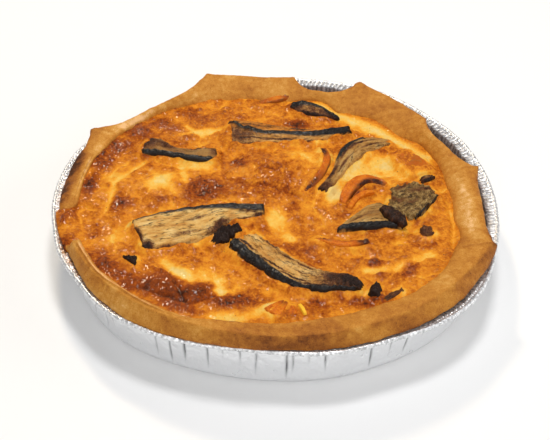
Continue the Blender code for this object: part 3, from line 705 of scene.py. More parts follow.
# Rows: x, y, half width and height. Skin: share of the way, place across and half width.
# Scorch: share of the way, place across, length, width and strength. Ends: how far each is rounded.
# Lift: height over the custard. Lap and crept: the share of its height that custard climbs over
# its edges. Soaked and covered: how much custard colours it, all over or on one side. Straight: its
# width runs straight back, however its rows bend. Torn: how uneven its ends are, in millimetres.
SLICES = {
    "aubergine_slice_left": {
        "rows": ((-68.2, -42.2, 13, 4.4), (-57.3, -37.9, 13.6, 4.6), (-47.5, -34.6, 13.6, 4.6),
            (-39, -31.2, 13.2, 4.4), (-29.5, -25.4, 8.6, 4.4), (-20, -22.8, 6, 4.4),
            (-12, -22.6, 5.2, 4.6), (-6.4, -22.8, 4.6, 4.8)),
        "skin": ((0, 0.78, 1.6), (0.3, 0.81, 1.7), (0.6, 0.73, 2), (0.72, 0.6, 2.4), (0.86, 0.45, 2.6),
            (1, 0.42, 2.6)),
        "scorch": ((0, -0.2, 1.8, 8, 0.9), (0.03, -0.85, 4, 4, 1), (0.36, -0.5, 9, 1.8, 0.42),
            (0.5, 0.15, 8, 1.6, 0.45), (0.6, -0.75, 9, 3, 0.7), (0.2, -0.95, 12, 1.2, 0.6),
            (0.98, -0.7, 4, 2.6, 0.9), (0.86, -0.95, 9, 1.2, 0.8), (0.9, -0.1, 7, 1.2, 0.5)),
        "ends": (1.2, 1), "torn": 1.6, "tilt": 0.15, "crept": 0.4,
    },
    "aubergine_burnt_curl": {
        "rows": ((-31.4, -47.6, 2, 2.6), (-27.4, -43.2, 4, 4.8), (-23.6, -38.4, 3.6, 5.4),
            (-16, -34.4, 2.2, 4.2)),
        "burnt": 1.2, "torn": 2, "ends": (3, 3), "wrinkle": 1,
    },
    "aubergine_slice_front": {
        "rows": ((-18.1, -41.2, 8.6, 4), (-11.9, -49, 9.3, 4.6), (-4, -56.8, 9, 4.6),
            (2.5, -62.6, 9.2, 4.4), (10, -68, 9.4, 4.2), (16.5, -71.2, 8.8, 4.2), (23.5, -72.8, 7.6, 4.2),
            (31, -73.4, 6.4, 4.6), (37, -75, 5.4, 4), (40.4, -75.8, 4.2, 3)),
        "skin": ((0, -0.62, 3.2), (0.2, -0.68, 3), (0.45, -0.8, 2), (0.65, -0.88, 1.3), (0.85, -0.9, 1.2),
            (1, -0.9, 1)),
        "scorch": ((0.1, -0.16, 8, 0.7, 1), (0.36, -0.3, 9, 0.6, 1), (0.55, -0.46, 8, 0.6, 1),
            (0.72, -0.62, 8, 0.8, 1), (0.4, 0.62, 8, 1, 0.62), (0.56, 0.6, 8, 1, 0.62),
            (0.96, 0.1, 19, 9, 0.95), (0.8, 0.3, 9, 4, 0.75), (0, 0.95, 5, 3, 0.35),
            (0.4, 0.4, 24, 5, 0.2), (0.22, 0.75, 9, 0.8, 0.6), (0.62, 0.1, 12, 0.6, 0.6)),
        "ends": (1.2, 1.4), "torn": 4.5, "ragged": 0.6, "soaked": 0.15, "crept": 0.25,
    },
    "aubergine_burnt_end": {
        "rows": ((42, -78.4, 3.4, 3), (45, -79, 5.4, 4.8), (48.8, -79.6, 3.6, 3)),
        "burnt": 1, "torn": 2, "ends": (2, 2), "wrinkle": 1, "lap": 0.4,
    },
    "aubergine_slice_back_left": {
        "rows": ((-73.5, 35.2, 8, 2.6), (-66, 33.2, 7.4, 3.2), (-57.5, 28.6, 4.4, 3.6),
            (-47, 25.8, 4.4, 3.6), (-38.5, 26.4, 6, 3.4), (-32, 26.8, 5.6, 3)),
        "skin": ((0, -0.8, 0.9), (0.2, -0.75, 1.5), (0.5, -0.72, 1.7), (0.95, -0.8, 1.5), (1, -0.9, 0.6)),
        "scorch": ((0.02, 0.3, 9, 7, 0.85), (0.3, 0.5, 9, 3, 0.65), (0.75, 0.8, 8, 1.2, 0.7),
            (0.97, 0.3, 4, 6, 0.5), (0.55, 0.2, 20, 7, 0.27)),
        "ends": (4, 1.5), "green": 0.75, "torn": 3, "soaked": 0.2, "tilt": 0.15, "crept": 0.45,
    },
    "aubergine_slice_back": {
        "rows": ((-28.8, 47.5, 11, 2), (-20, 47.3, 11.4, 3.4), (-8, 45.6, 9.8, 4), (4, 44.6, 8, 4),
            (16, 44.8, 5.8, 3.8), (28.5, 48.4, 2.8, 3.8), (39.5, 52.4, 2, 3.4)),
        "skin": ((0, 0.92, 1.2), (0.06, 0.66, 1.3), (0.13, 0.28, 1.5), (0.29, 0.04, 1.6),
            (0.47, 0.06, 1.6), (0.64, 0.1, 1.7), (0.83, 0, 2), (1, 0, 1.8)),
        "scorch": ((0.2, -0.45, 12, 0.6, 0.9), (0.45, -0.55, 12, 0.7, 0.9), (0.3, -0.85, 14, 0.8, 0.8),
            (0.25, 0.55, 12, 0.8, 0.5), (0.6, -0.8, 6, 1, 0.7), (0.02, 0.2, 4, 5, 0.6),
            (0.35, 0.7, 14, 2, 0.32), (0.45, -0.4, 22, 3, 0.25), (0.56, 0.8, 5, 2.5, 0.9),
            (0.08, -0.2, 17, 10, 0.52), (0.02, 0.85, 6, 2, 0.9)),
        "ends": (2, 1), "green": 0.2, "torn": 4.5, "tilt": 0.3, "soaked": 0.35, "covered": 0.6,
        "crept": 0.6,
    },
    "aubergine_slice_rim": {
        "rows": ((5.6, 76.6, 2, 2.6), (11.4, 75, 5.6, 3.4), (19.4, 72, 5.4, 3.4), (27, 68.6, 3, 2.8),
            (33.4, 65.6, 1.3, 2)),
        "skin": ((0, 0.3, 2.2), (0.3, 0.62, 2.4), (0.6, 0.7, 1.8), (1, 0.3, 1.4)),
        "scorch": ((0.08, 0, 7, 6, 1), (0.5, -0.9, 14, 2, 0.95), (0.55, -0.2, 16, 5, 0.5),
            (0.9, 0, 8, 3, 1)),
        "ends": (2.5, 2), "torn": 1.5, "crept": 0.2,
    },
    "aubergine_slice_middle": {
        "rows": ((60.5, 43, 2.6, 2.6), (55, 42, 4.6, 3.2), (48.7, 40.2, 6.4, 3.6), (42.8, 36.2, 7, 3.8),
            (38.2, 30.2, 6.4, 3.8), (34.4, 22.6, 4.7, 3.6), (30.6, 13, 3.2, 3.2), (26.2, 4.4, 3, 2.8),
            (21.8, -2.6, 3.4, 2.2)),
        "skin": ((0.2, -0.8, 0.9), (0.28, -0.74, 1.6), (0.42, -0.72, 1.9), (0.54, -0.8, 1.5),
            (0.6, -0.9, 0.6)),
        "scorch": ((1, 0, 9, 5, 0.85), (0.3, -0.35, 10, 0.9, 0.8), (0.45, -0.4, 9, 0.8, 0.7),
            (0.6, 0.2, 9, 0.8, 0.6), (0.2, 0.3, 9, 0.8, 0.6), (0.75, -0.5, 9, 1.2, 0.8)),
        "ends": (1.5, 2), "green": 0.6, "torn": 3.5, "ragged": 0.25, "soaked": 0.15, "crept": 0.35,
    },
    "aubergine_slice_right": {
        "rows": ((29, -33.2, 1.4, 2.4), (34, -30.2, 3.8, 3.2), (40, -25.9, 6.9, 3.4),
            (45.4, -22.4, 9.8, 3.4), (50, -21, 10.4, 3.2), (53, -21.2, 9.6, 3.2), (55.6, -25.4, 5.6, 3),
            (59, -28.2, 3, 2.8), (62, -30.4, 0.9, 2.2)),
        "skin": ((0, 0, 1.4), (0.14, -0.5, 1.7), (0.33, -0.78, 1.9), (0.5, -0.84, 2), (0.72, -0.82, 2),
            (0.8, -0.66, 1.9), (0.9, -0.5, 1.7), (1, 0, 1)),
        "scorch": ((0.62, 0.92, 5, 1.4, 0.9), (0.55, 0.2, 10, 1.6, 0.35), (0.35, 0.1, 8, 0.6, 0.6),
            (0.5, 0.1, 16, 7, 0.16)),
        "ends": (1.5, 1.5), "green": 0.5, "torn": 1.5, "lap": 0.35, "soaked": 0.12, "straight": True,
    },
    "aubergine_dark_strip": {
        "rows": ((51.4, -17.4, 1.6, 2.4), (54.4, -21, 3.2, 3), (58.2, -25.6, 3.5, 3.2),
            (62.6, -31.4, 2, 2.6)),
        "burnt": 0.8, "ends": (2, 2), "wrinkle": 0.4, "lift": 3.6,
    },
    "aubergine_chunk_right": {
        "rows": ((54.8, -7.4, 6, 2.8), (58, -8.9, 10.9, 3.4), (63, -10.2, 15.2, 4.2), (68, -9.6, 16, 5.4),
            (73, -8, 11.6, 5.8), (78, -5.6, 7, 4.8), (82, -3, 2.4, 2.8)),
        "skin": ((0.46, -0.95, 0.6), (0.58, -0.92, 1), (0.82, -0.86, 1), (1, -0.5, 0.9)),
        "scorch": ((0.3, 0.7, 5, 2, 0.6), (0.55, 0.35, 5, 2, 0.5), (0.2, 0, 5, 2, 0.5),
            (0.75, 0.5, 6, 1.2, 0.7), (0.45, -0.2, 4, 1.6, 0.45)),
        "ends": (2, 2), "green": 1, "wrinkle": 1.6, "torn": 3, "ragged": 1, "straight": True,
    },
    "aubergine_tip_right": {
        "rows": ((72.8, 7.8, 1.6, 2.6), (76.8, 10.8, 2.4, 3.2), (81.6, 14.2, 1.2, 2.2)),
        "scorch": ((1, 0, 5, 3, 0.9), (0.4, -0.7, 8, 1.4, 1), (0.1, 0.3, 3, 2, 0.6)),
        "ends": (1.5, 1.5), "green": 0.8, "torn": 1.5, "ragged": 0.6,
    },
    "aubergine_burnt_bit_right": {
        "rows": ((69, -34, 2.4, 2.2), (73, -33.4, 3.8, 3.4), (77, -32.2, 2.4, 2.2)),
        "burnt": 0.6, "ends": (2, 2), "wrinkle": 1, "lap": 0.6,
    },
    "aubergine_skin_corner": {
        "rows": ((-73.2, -57.9, 0.6, 1.4), (-69.5, -59.4, 2.2, 2.2), (-65.6, -61.4, 4, 2.4)),
        "burnt": 0.9, "ends": (1, 0.6), "green": 0.5, "straight": True,
    },
    "aubergine_strip_front": {
        "rows": ((49, -84.2, 1.2, 1.8), (54, -80.4, 1.7, 2.2), (58.5, -76.6, 1.2, 1.8)),
        "burnt": 0.6, "ends": (1, 1), "lap": 0.6,
    },
    "pumpkin_arc_outer": {
        "rows": ((32.4, -12, 2, 2.8), (34.8, -4.6, 3.2, 3.8), (39.2, 3, 3.8, 4.2), (45.4, 7.6, 3.6, 4.2),
            (51.6, 6.8, 2.6, 3.2), (55.8, 4.2, 1.4, 2.2)),
        "scorch": ((0.62, -0.85, 9, 1.8, 1), (0.84, -0.45, 6, 2, 1), (0.3, -0.95, 9, 0.8, 0.8)),
        "ends": (1, 1), "lap": 0.4,
    },
    "pumpkin_arc_inner": {
        "rows": ((36, -15, 1.3, 2.2), (39.2, -8.2, 1.7, 2.8), (44, -3.2, 1.7, 2.8),
            (49.4, -1.4, 1.2, 2.2)),
        "ends": (1, 1), "lap": 0.3,
    },
    "pumpkin_fan_left": {
        "rows": ((4.6, -85.6, 1.3, 1.8), (1, -90.6, 3.8, 2.4), (-2.6, -95, 5.2, 2)),
        "scorch": ((0, 0, 4, 3, 0.6),),
        "ends": (1, 0.8), "ribs": 1, "lap": 0.75,
    },
    "pumpkin_fan_right": {
        "rows": ((7.6, -88.4, 0.9, 1.8), (7.7, -92, 1.8, 2.2), (7.6, -95.2, 2.6, 2)),
        "ends": (0.8, 0.8), "ribs": 0.6, "lap": 0.75,
    },
    "pumpkin_strip_front": {
        "rows": ((10.4, -87.4, 0.9, 2), (12, -91.4, 1.1, 2.4), (13.4, -95.2, 0.9, 2)),
        "ends": (0.8, 0.8), "yellow": 1, "lap": 0.3,
    },
    "pumpkin_slab_edge": {
        "rows": ((23.2, 34.2, 2, 3), (25.2, 23.6, 2.4, 3.8), (23.2, 13.4, 2.2, 3.4), (18, 3.8, 2.1, 2.8),
            (12, -6, 1.4, 2.2)),
        "scorch": ((0.1, -0.3, 7, 2.2, 0.95), (0.8, 0.3, 14, 2, 0.8), (0.45, 0.95, 14, 0.9, 0.6)),
        "ends": (1.5, 1.5), "lap": 0.5,
    },
    "pumpkin_slab_right": {
        "rows": ((64.5, 34.5, 4.4, 2.4), (69, 28, 6.8, 3.2), (72.5, 21.5, 7.2, 3.2),
            (75.4, 15.8, 6.2, 2.2)),
        "scorch": ((0.35, -0.3, 7, 3, 0.28), (0.75, 0.5, 6, 3, 0.3), (0.5, 0.95, 12, 1.2, 0.4),
            (0.5, 0, 12, 9, 0.4)),
        "ends": (3, 3), "lap": 0.85,
    },
    "pumpkin_sliver_crust": {
        "rows": ((-12, 80, 1.8, 2), (-4, 82.6, 2.8, 2.4), (2.4, 85.6, 2.4, 2.4), (6, 89.4, 1.4, 2)),
        "scorch": ((0, 0, 9, 3, 0.45), (1, 0, 6, 3, 1), (0.5, -0.8, 12, 1.2, 0.6)),
        "ends": (2, 1), "lap": 0.4,
    },
    "pumpkin_sliver_middle": {
        "rows": ((18, -38, 1.2, 1.8), (26, -42.6, 1.9, 2.6), (36, -43.6, 2.2, 2.8), (45, -40.4, 1.6, 2)),
        "scorch": ((0.92, 0, 5, 4, 1), (0.1, 0.4, 7, 1.2, 0.8), (0.6, 0.6, 8, 1, 0.5)),
        "ends": (1.5, 1.5), "lap": 0.6,
    },
}
slice_outlines = []

CUSTARD_LEVEL = 32.0
EDGE_FLATNESS = 4
# Swells of the custard's skin: x, y, length and width of the mound, turn and height
CUSTARD_SWELLS = (
    (-84, 2, 15, 9, 70, 3), (-58, 6, 20, 9, 10, 2.4), (-46, -78, 26, 13, -28, 2.6),
    (-74, -70, 12, 10, 0, 1.6), (2, 18, 24, 15, 12, 3.6), (-36, 62, 18, 12, 30, 2),
    (62, -58, 20, 13, 35, 2.2), (4, -12, 13, 11, 0, 1.5), (48, 62, 20, 7, -40, 1.4),
    (-38, -62, 18, 8, -10, 1.8), (14, -30, 9, 7, 0, -2.6), (54, 20, 13, 6, 30, -1.8),
    (-90, 14, 8, 5, 80, -1.2),
)
FLESH_TONES = (
    (0.28, (0.34, 0.13, 0.025)),
    (0.40, (0.54, 0.26, 0.055)),
    (0.50, (0.68, 0.40, 0.115)),
    (0.66, (0.80, 0.57, 0.24)),
)
OLIVE_TONES = (
    (0.25, (0.030, 0.015, 0.005)),
    (0.42, (0.15, 0.075, 0.020)),
    (0.56, (0.31, 0.185, 0.055)),
    (0.72, (0.45, 0.32, 0.13)),
)
SOAKED_COLOUR = (0.56, 0.19, 0.014)
VEIN_COLOUR = (0.045, 0.018, 0.008)
SINGED_COLOUR = (0.13, 0.042, 0.012)
CHARRED_COLOUR = (0.020, 0.009, 0.006)
SKIN_COLOURS = ((0.004, 0.0035, 0.0035), (0.018, 0.013, 0.011))
PUMPKIN_TONES = (
    (0.0, (0.32, 0.060, 0.003)),
    (0.5, (0.56, 0.128, 0.005)),
    (1.0, (0.74, 0.25, 0.013)),
)
YELLOW_PUMPKIN = (0.85, 0.48, 0.03)
BURNT_PUMPKIN = (0.05, 0.015, 0.008)


def spot(x, y, middle_x, middle_y, length, width, turn):
    """A soft oval spot: 1 in its middle, fading to 0 past its length and width."""
    cos_turn, sin_turn = math.cos(math.radians(turn)), math.sin(math.radians(turn))
    along = (x - middle_x) * cos_turn + (y - middle_y) * sin_turn
    across = (y - middle_y) * cos_turn - (x - middle_x) * sin_turn
    return np.exp(-((along / length) ** 2 + (across / width) ** 2))


def custard_level(x, y):
    """Height of the custard's skin before its small relief."""
    angle = np.degrees(np.arctan2(y, x)).ravel() % 360
    radius, edge_height, _ = [item.reshape(np.shape(x)) for item in custard_edge(angle)]
    share = np.minimum(np.hypot(x, y) / radius, 1.0) ** EDGE_FLATNESS
    swells = sum(swell[5] * spot(x, y, *swell[:5]) for swell in CUSTARD_SWELLS)
    return CUSTARD_LEVEL + (edge_height - CUSTARD_LEVEL) * share + swells * (1 - share)


def along_rows(rows, shares):
    """Follow rows smoothly by their length, and return their numbers at shares of the way."""
    table = np.array(rows, float)
    steps = np.hypot(*np.diff(table[:, :2], axis=0).T)
    place = np.concatenate([[0], np.cumsum(steps)])
    wanted = shares * place[-1]
    slopes = np.gradient(table, place, axis=0)
    index = np.clip(np.searchsorted(place, wanted, side="right") - 1, 0, len(table) - 2)
    span = (place[index + 1] - place[index])[:, None]
    part = (wanted - place[index])[:, None] / span
    return ((2 * part ** 3 - 3 * part ** 2 + 1) * table[index]
            + (part ** 3 - 2 * part ** 2 + part) * slopes[index] * span
            + (3 * part ** 2 - 2 * part ** 3) * table[index + 1]
            + (part ** 3 - part ** 2) * slopes[index + 1] * span), place[-1]


def slice_course(look):
    """Shares of the way along a slice, its length, its rows there and directions along and across."""
    length = along_rows(look["rows"], np.zeros(1))[1]
    shares = np.linspace(0, 1, max(int(length / SLICE_STEP), 12))
    table = along_rows(look["rows"], shares)[0]
    along = np.gradient(table[:, :2], axis=0)
    along /= np.linalg.norm(along, axis=1, keepdims=True)
    side = np.stack([-along[:, 1], along[:, 0]], -1)
    if look["straight"]:
        side = np.broadcast_to([0.0, 1.0], side.shape)
    return shares[:, None], length, table, along, side


def slice_marks(look, shares, length, reach, half_width, spots, seed):
    """Where a slice has its strip of skin and where it is scorched, each from 0 to 1."""
    skin, scorch = 0 * reach, 0 * reach + look["burnt"]
    if "skin" in look:
        strip = np.array(look["skin"])
        centre = np.interp(shares, strip[:, 0], strip[:, 1]) * half_width
        half = np.interp(shares, strip[:, 0], strip[:, 2])
        present = (shares >= strip[0, 0]) & (shares <= strip[-1, 0])
        uneven = 0.35 * lumps(spots, 2.2, seed + 90, 2)
        skin = smooth_step((half + uneven - np.abs(reach - centre)) / 0.5 + 0.5) * present
    for share, position, long, wide, strength in look["scorch"]:
        away = ((shares - share) * length / long) ** 2 + ((reach - position * half_width) / wide) ** 2
        scorch = np.maximum(scorch, strength * np.exp(-away))
    return skin, scorch


def slice_relief(look, across, spots, fibres, scorch, seed):
    """Height of a slice's fibres, wrinkles, rags, char and ribs."""
    burnt, wrinkle = look["burnt"], 0.5 + look["wrinkle"]
    relief = 0.28 * lumps(fibres, 1, seed + 30, 2) + 0.55 * wrinkle * lumps(spots, 4.5, seed + 60, 2)
    relief = relief + look["ragged"] * (1.8 * np.abs(lumps(spots, 3.4, seed + 75, 3)) - 0.5)
    relief = relief + burnt * (2.6 * np.abs(lumps(spots * (1, 1, 1.8), 3.2, seed + 70, 3)) - 0.8)
    relief = relief + scorch * (1 - burnt) * (1.9 * np.abs(lumps(spots, 2.8, seed + 85, 3)) - 0.6)
    return relief + 0.35 * look["ribs"] * np.sin(7.5 * across)


def slice_piece(name, look, seed):
    """A strip of vegetable: a rounded slab along its rows, shrivelled, with its foot in the custard."""
    shares, length, table, along, side = slice_course(look)
    middle_x, middle_y, half_width, height = np.split(table, 4, axis=1)
    first_end, last_end = look["ends"]
    from_ends = np.minimum(shares * length / first_end, (1 - shares) * length / last_end)
    taper = np.sqrt(1 - (1 - np.clip(from_ends, 0.02, 1)) ** 2)
    around = max(int(2.4 * half_width.max() / SLICE_STEP), 14)
    across = np.concatenate([-np.cos(np.linspace(0, math.pi, around)), np.linspace(0.9, -0.9, UNDER_POINTS)])
    on_top = np.arange(len(across)) < around
    edge = (1 - np.abs(across) ** 10) ** 0.5
    wrinkle = 0.5 + look["wrinkle"]
    spots = np.stack(np.broadcast_arrays(middle_x, middle_y, 3.0 * across), -1)
    rags = 0.3 * look["burnt"] * wrinkle + 0.16 * look["ragged"]
    uneven = 1 + 0.06 * wrinkle * lumps(spots, 5, seed, 2) + rags * lumps(spots, 2.4, seed + 40, 3)
    reach = (0.75 + 0.25 * taper) * half_width * across * uneven
    near_end = np.exp(-(shares * length / 5) ** 2) - np.exp(-((1 - shares) * length / 5) ** 2)
    torn = look["torn"] * near_end * np.abs(lumps(spots * (0.1, 0.1, 1), 2.6, seed + 20, 3))
    x = middle_x + side[:, :1] * reach + along[:, :1] * torn
    y = middle_y + side[:, 1:] * reach + along[:, 1:] * torn
    lift = look["lift"]
    if not lift:
        sides = [np.stack([x[:, column], y[:, column]], -1) for column in (0, around - 1)]
        outline = np.concatenate([sides[0], sides[1][::-1]])
        slice_outlines.append((outline, height.max(), look["lap"], look["crept"]))
    skin, scorch = slice_marks(look, shares, length, reach, half_width, spots, seed)
    fibres = np.stack(np.broadcast_arrays(shares * length / 9, reach / 0.9, 0 * reach), -1)
    relief = slice_relief(look, across, spots, fibres, scorch, seed)
    folds = 0.6 + 0.45 * np.abs(lumps(fibres * (1, 1.4, 1), 1, seed + 35, 2))
    sunk = 0.3 * SUNK if lift else SUNK
    foot = custard_level(x, y) + lift - sunk
    rise = height * (1 + look["tilt"] * across) + relief + folds * skin
    z = foot + on_top * edge * (sunk + taper * rise)
    points, faces = closed_rings(np.stack([x, y, z], -1))
    soaked = look["soaked"] + look["covered"] * smooth_step((across - 0.15) / 0.25) + 0 * reach
    marks = {"skin": skin, "scorch": scorch, "soaked": soaked, "run": shares * length + 0 * reach,
             "cross": reach}
    numbers = {key: with_ends(values, values[0].mean(), values[-1].mean()) for key, values in marks.items()}
    for key in ("green", "yellow"):
        numbers[key] = np.full(len(points), look[key], float)
    return add_piece(name, points, faces, numbers)


def along_slice(tree, along, across, detail, shift):
    """Noise stretched along a slice, from 0 to 1, by its lumps per millimetre each way."""
    place = add_node(tree, "ShaderNodeCombineXYZ", {
        0: stored(tree, "run") * along, 1: stored(tree, "cross") * across, 2: shift})
    return noise_at(place, 1.0, detail, Roughness=0.6)


def aubergine_material(name):
    """Roasted flesh with thin dark veins and brown patches, scorched in places, and black skin."""
    material, tree, surface = new_material(name, {"Specular IOR Level": 0.15, "Coat Roughness": 0.22})
    shade, height = grain(tree, 420.0, 1500.0)
    soft = along_slice(tree, 0.11, 0.26, 3.0, 1.5)
    fibre = along_slice(tree, 0.16, 0.9, 4.0, 4.5)
    wave = along_slice(tree, 0.055, 0.42, 3.0, 7.5)
    broken = ranged(along_slice(tree, 0.30, 0.7, 2.0, 9.5), 0.42, 0.54)
    vein = ranged(abs(wave - 0.5), 0.006, 0.022, 1.0, 0.0) * broken
    tone = (shade - 0.5) * 0.08 + (fibre * 0.34 + soft * 0.66)
    olive = ramp(shade * 0.5 + tone * 0.5, OLIVE_TONES)
    flesh = mixed_colour(stored(tree, "green"), ramp(tone, FLESH_TONES), olive)
    flesh = mixed_colour(stored(tree, "soaked"), flesh, SOAKED_COLOUR)
    flesh = mixed_colour(vein * 0.85, flesh, VEIN_COLOUR)
    burn = (shade - 0.5) * 0.45 + stored(tree, "scorch")
    flesh = mixed_colour(ranged(burn, 0.10, 0.50), flesh, SINGED_COLOUR)
    flesh = mixed_colour(ranged(burn, 0.45, 0.85), flesh, CHARRED_COLOUR)
    black = stored(tree, "skin")
    fill_inputs(surface, {
        "Base Color": mixed_colour(black, flesh, mixed_colour(shade, *SKIN_COLOURS)),
        "Roughness": black * -0.22 + (shade * 0.2 + 0.46),
        "Coat Weight": black * 0.16 + 0.05,
        "Normal": bump(fibre * 0.6 + (vein * -0.5 + height), 0.0011, 0.9),
    })
    return material


def pumpkin_material():
    """Roasted pumpkin: moist orange flesh, browned at its edges."""
    material, tree, surface = new_material("roasted_pumpkin", {
        "Specular IOR Level": 0.08, "Coat Weight": 0.2, "Coat Roughness": 0.07, "Coat IOR": 1.35})
    shade, height = grain(tree, 260.0, 1100.0)
    flesh = mixed_colour(stored(tree, "yellow"), ramp(shade, PUMPKIN_TONES), YELLOW_PUMPKIN)
    burn = ranged((shade - 0.5) * 0.5 + stored(tree, "scorch"), 0.15, 0.85)
    fill_inputs(surface, {
        "Base Color": mixed_colour(burn, flesh, BURNT_PUMPKIN),
        "Roughness": shade * 0.2 + 0.28,
        "Normal": bump(height, 0.0006, 0.7),
    })
    return material


vegetable_finishes = {
    "aubergine_flesh": aubergine_material("roasted_aubergine"),
    "burnt_skin": aubergine_material("scorched_aubergine"),
    "pumpkin": pumpkin_material(),
}
for number, (node_name, slice_look) in enumerate(SLICES.items()):
    if node_name.startswith("pumpkin"):
        slice_slot = "pumpkin"
    elif "burnt" in slice_look:
        slice_slot = "burnt_skin"
    else:
        slice_slot = "aubergine_flesh"
    vegetable = slice_piece(node_name + "_roasted", {**PLAIN_SLICE, **slice_look}, number)
    vegetable.data.materials.append(vegetable_finishes[slice_slot])
    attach(vegetable, "root")
    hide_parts(node_name)

# Custard filling
# Eggs, cream and cheese poured over the vegetables and baked, so the skin swells over what lies
# under it, goes from yellow through orange to dark brown, and has run over the crust at the left.
CUSTARD_CELLS = 300
OVERFLOW = (186, 206)
OVERFLOW_REACH = 112.6
OVERFLOW_HEIGHT = 29.2
OVERFLOW_SWELL = 1.9
OVERFLOW_DROOP = 1.6
TUCK = 3.0
BASE_TONE = 0.495
# Spots of the skin that baked browner or stayed paler: x, y, length, width, turn and amount
BROWNING = (
    (-89, 37, 12, 7, -35, 0.34), (-77, 50, 12, 7, -35, 0.32), (-63, 59, 12, 6, -30, 0.25),
    (-92, 23, 9, 7, 70, 0.36), (-97, 2, 8, 4.5, 80, 0.45), (-50, 68, 10, 4, -30, 0.18),
    (-79, -12, 6, 4, 75, 0.42), (-38.5, -0.5, 10, 9, 0, 0.46), (-21, 22, 5.4, 5, 0, 0.4),
    (-16, 58, 5, 3.5, 0, 0.25), (-49, 74, 5, 2.5, 0, 0.35), (-45, 61, 9, 6, 0, 0.1),
    (-30, 66, 12, 7, 0, 0.06), (-88, -36, 6, 9, 20, 0.07), (10, 60.5, 7, 4.5, 0, 0.62),
    (-10, -3, 18, 6, -10, 0.13), (-2, 6, 11, 7, -25, 0.05), (7, -16, 5, 3, 60, 0.25),
    (11, -46, 10, 8, 0, 0.16), (-65, -75, 13, 8, -35, 0.32), (-51, -76, 13, 9, -30, 0.36),
    (-44, -84, 10, 5, 0, 0.32), (-35, -78, 7, 6, 0, 0.36), (-21, -86, 9, 5, 0, 0.38),
    (-45, -91, 16, 4, -12, 0.22), (-79, -66, 8, 6, -40, 0.28), (-84, -58, 9, 6, -50, 0.22),
    (-105, -20, 5, 8, 0, 0.2), (-104, -44, 5, 7, 0, 0.45), (-108, 8, 6, 14, 0, 0.26),
    (47, -56, 4, 3, 0, 0.38), (62, -61, 6, 4, 60, 0.5), (58, -36, 3, 3, 0, 0.15), (20, -85, 5, 3, 0, 0.25),
    (41, -84, 9, 4, 0, 0.35), (70, -40, 8, 5, 0, 0.1), (-84, 8, 7, 5, 0, -0.16),
    (-91, -26, 7, 5, -60, -0.04), (-76, -36, 8, 6, -70, -0.16), (-79, -43, 7, 5, -60, -0.1),
    (-43, 50, 10, 2.5, 15, -0.35), (-43, 19, 10, 4, -10, -0.34), (-60, 5, 10, 5, 30, -0.34),
    (-1, -24, 6, 7, 0, -0.4), (6, -37, 5, 5, 0, -0.34), (12, 25, 9, 7, 0, -0.2), (40, 22, 7, 5, 0, -0.18),
    (56, 27, 8, 6, 0, -0.26), (44, 14, 12, 4, 10, -0.32), (30, 0, 4, 9, 15, -0.32),
    (28, -5, 4, 8, 0, -0.3), (46, 1, 6, 2.5, 30, -0.36), (-44, -68, 3.5, 7, 60, -0.36),
    (-32, -68, 9, 4, -10, -0.22), (-25, -79, 5, 3, 0, -0.26), (-18, -95, 14, 3, 0, -0.06),
    (-8, -84, 14, 4, -10, 0.14), (22, -88, 10, 4, 0, 0.14), (23, 80, 7, 3, -35, -0.3),
    (36, 68, 9, 3.5, -38, -0.24), (51, 57, 9, 4, -42, -0.28), (63, 47, 9, 4, -45, -0.24),
    (76, 32, 8, 4, -45, -0.26), (87, -22, 12, 1.5, 92, -0.04),
)
# Seams of the skin, yellow or dark: width, depth, change of browning and the path's points. The dark one
# between the pumpkin arcs is a painted shadow of their gap.
SEAMS = (
    (1.5, 0.9, -0.28, ((-70.6, 21.6), (-75.9, 13.6), (-83.7, 2), (-85.2, -16.2))),
    (2.6, 0.3, -0.2, ((-66.8, 14), (-52.4, -4.3))),
    (1.8, 0.5, -0.26, ((-50.3, 17.1), (-47.1, 4.6))),
    (1.6, 0.6, -0.32, ((-50.7, 56.2), (-41.3, 46.8), (-32.9, 52.6))),
    (3, 0.8, -0.42, ((-52.9, -59.9), (-46.1, -66.9), (-39.6, -72.9))),
    (1.8, 0.4, -0.4, ((-27.4, -71.5), (-24.3, -80.4))),
    (0.9, 1.1, 0.2, ((-51.1, -65), (-41.3, -86.8))),
    (0.8, 1.1, 0.22, ((-63.6, -77.7), (-41.3, -86.8))),
    (0.9, 1, 0.15, ((-40.5, -88.8), (-24.3, -80.4))),
    (3, 0.3, -0.3, ((-28.8, -96.1), (-15.6, -97.6), (-3.9, -89.6))),
    (2.4, 0.4, -0.28, ((42.1, -60.9), (57, -60.5), (73.5, -49.1))),
    (5, 0.6, -0.26, ((30, -2), (35, 12), (42.7, 19), (55.6, 25), (62.7, 14))),
    (3.4, 0.9, -0.36, ((22.4, 80.5), (34.7, 70.5), (50.8, 61.7), (60.3, 52), (67.9, 43.8), (77.3, 33.1))),
    (1.3, 1.6, -0.12, ((86.8, -7.9), (87.4, -25), (85, -43.1))),
    (1.4, 1.2, 0.12, ((-29.5, 31), (-29, 20.3), (-27.5, 9), (-19.3, 5), (-2.6, 0.8), (10.4, -7))),
    (0.9, 1, 0.16, ((-9.5, 15.8), (-1.7, 11.6), (6, 18), (11.2, 24.4))),
    # Painted shadow of the gap between the pumpkin arcs
    (1.1, 1.2, 0.42, ((37.4, -9.5), (40.2, -3.6), (44.6, 1.4), (49.5, 2.8))),
)
# Thin yellow folds where the skin tightened: size of its cells, width, change of browning and depth
SKIN_FOLDS = ((20, 0.05, 0.17, 0.6), (11, 0.055, 0.1, 0.4))
# How far the spots' and the folds' edges wander, and the seams' share of it
WANDER = 1.5
SEAM_WANDER = 0.3
# A slab of pumpkin under the skin: the line of its steep front, its height and its spread
SLAB_FRONT = ((-6.2, 11.6), (4.0, 17.6), (13.6, 22.8), (23.5, 24.8), (34.0, 22.8))
SLAB_STEP = 2.6
SLAB_SPREAD = (10, 19, 22, 18, 20)
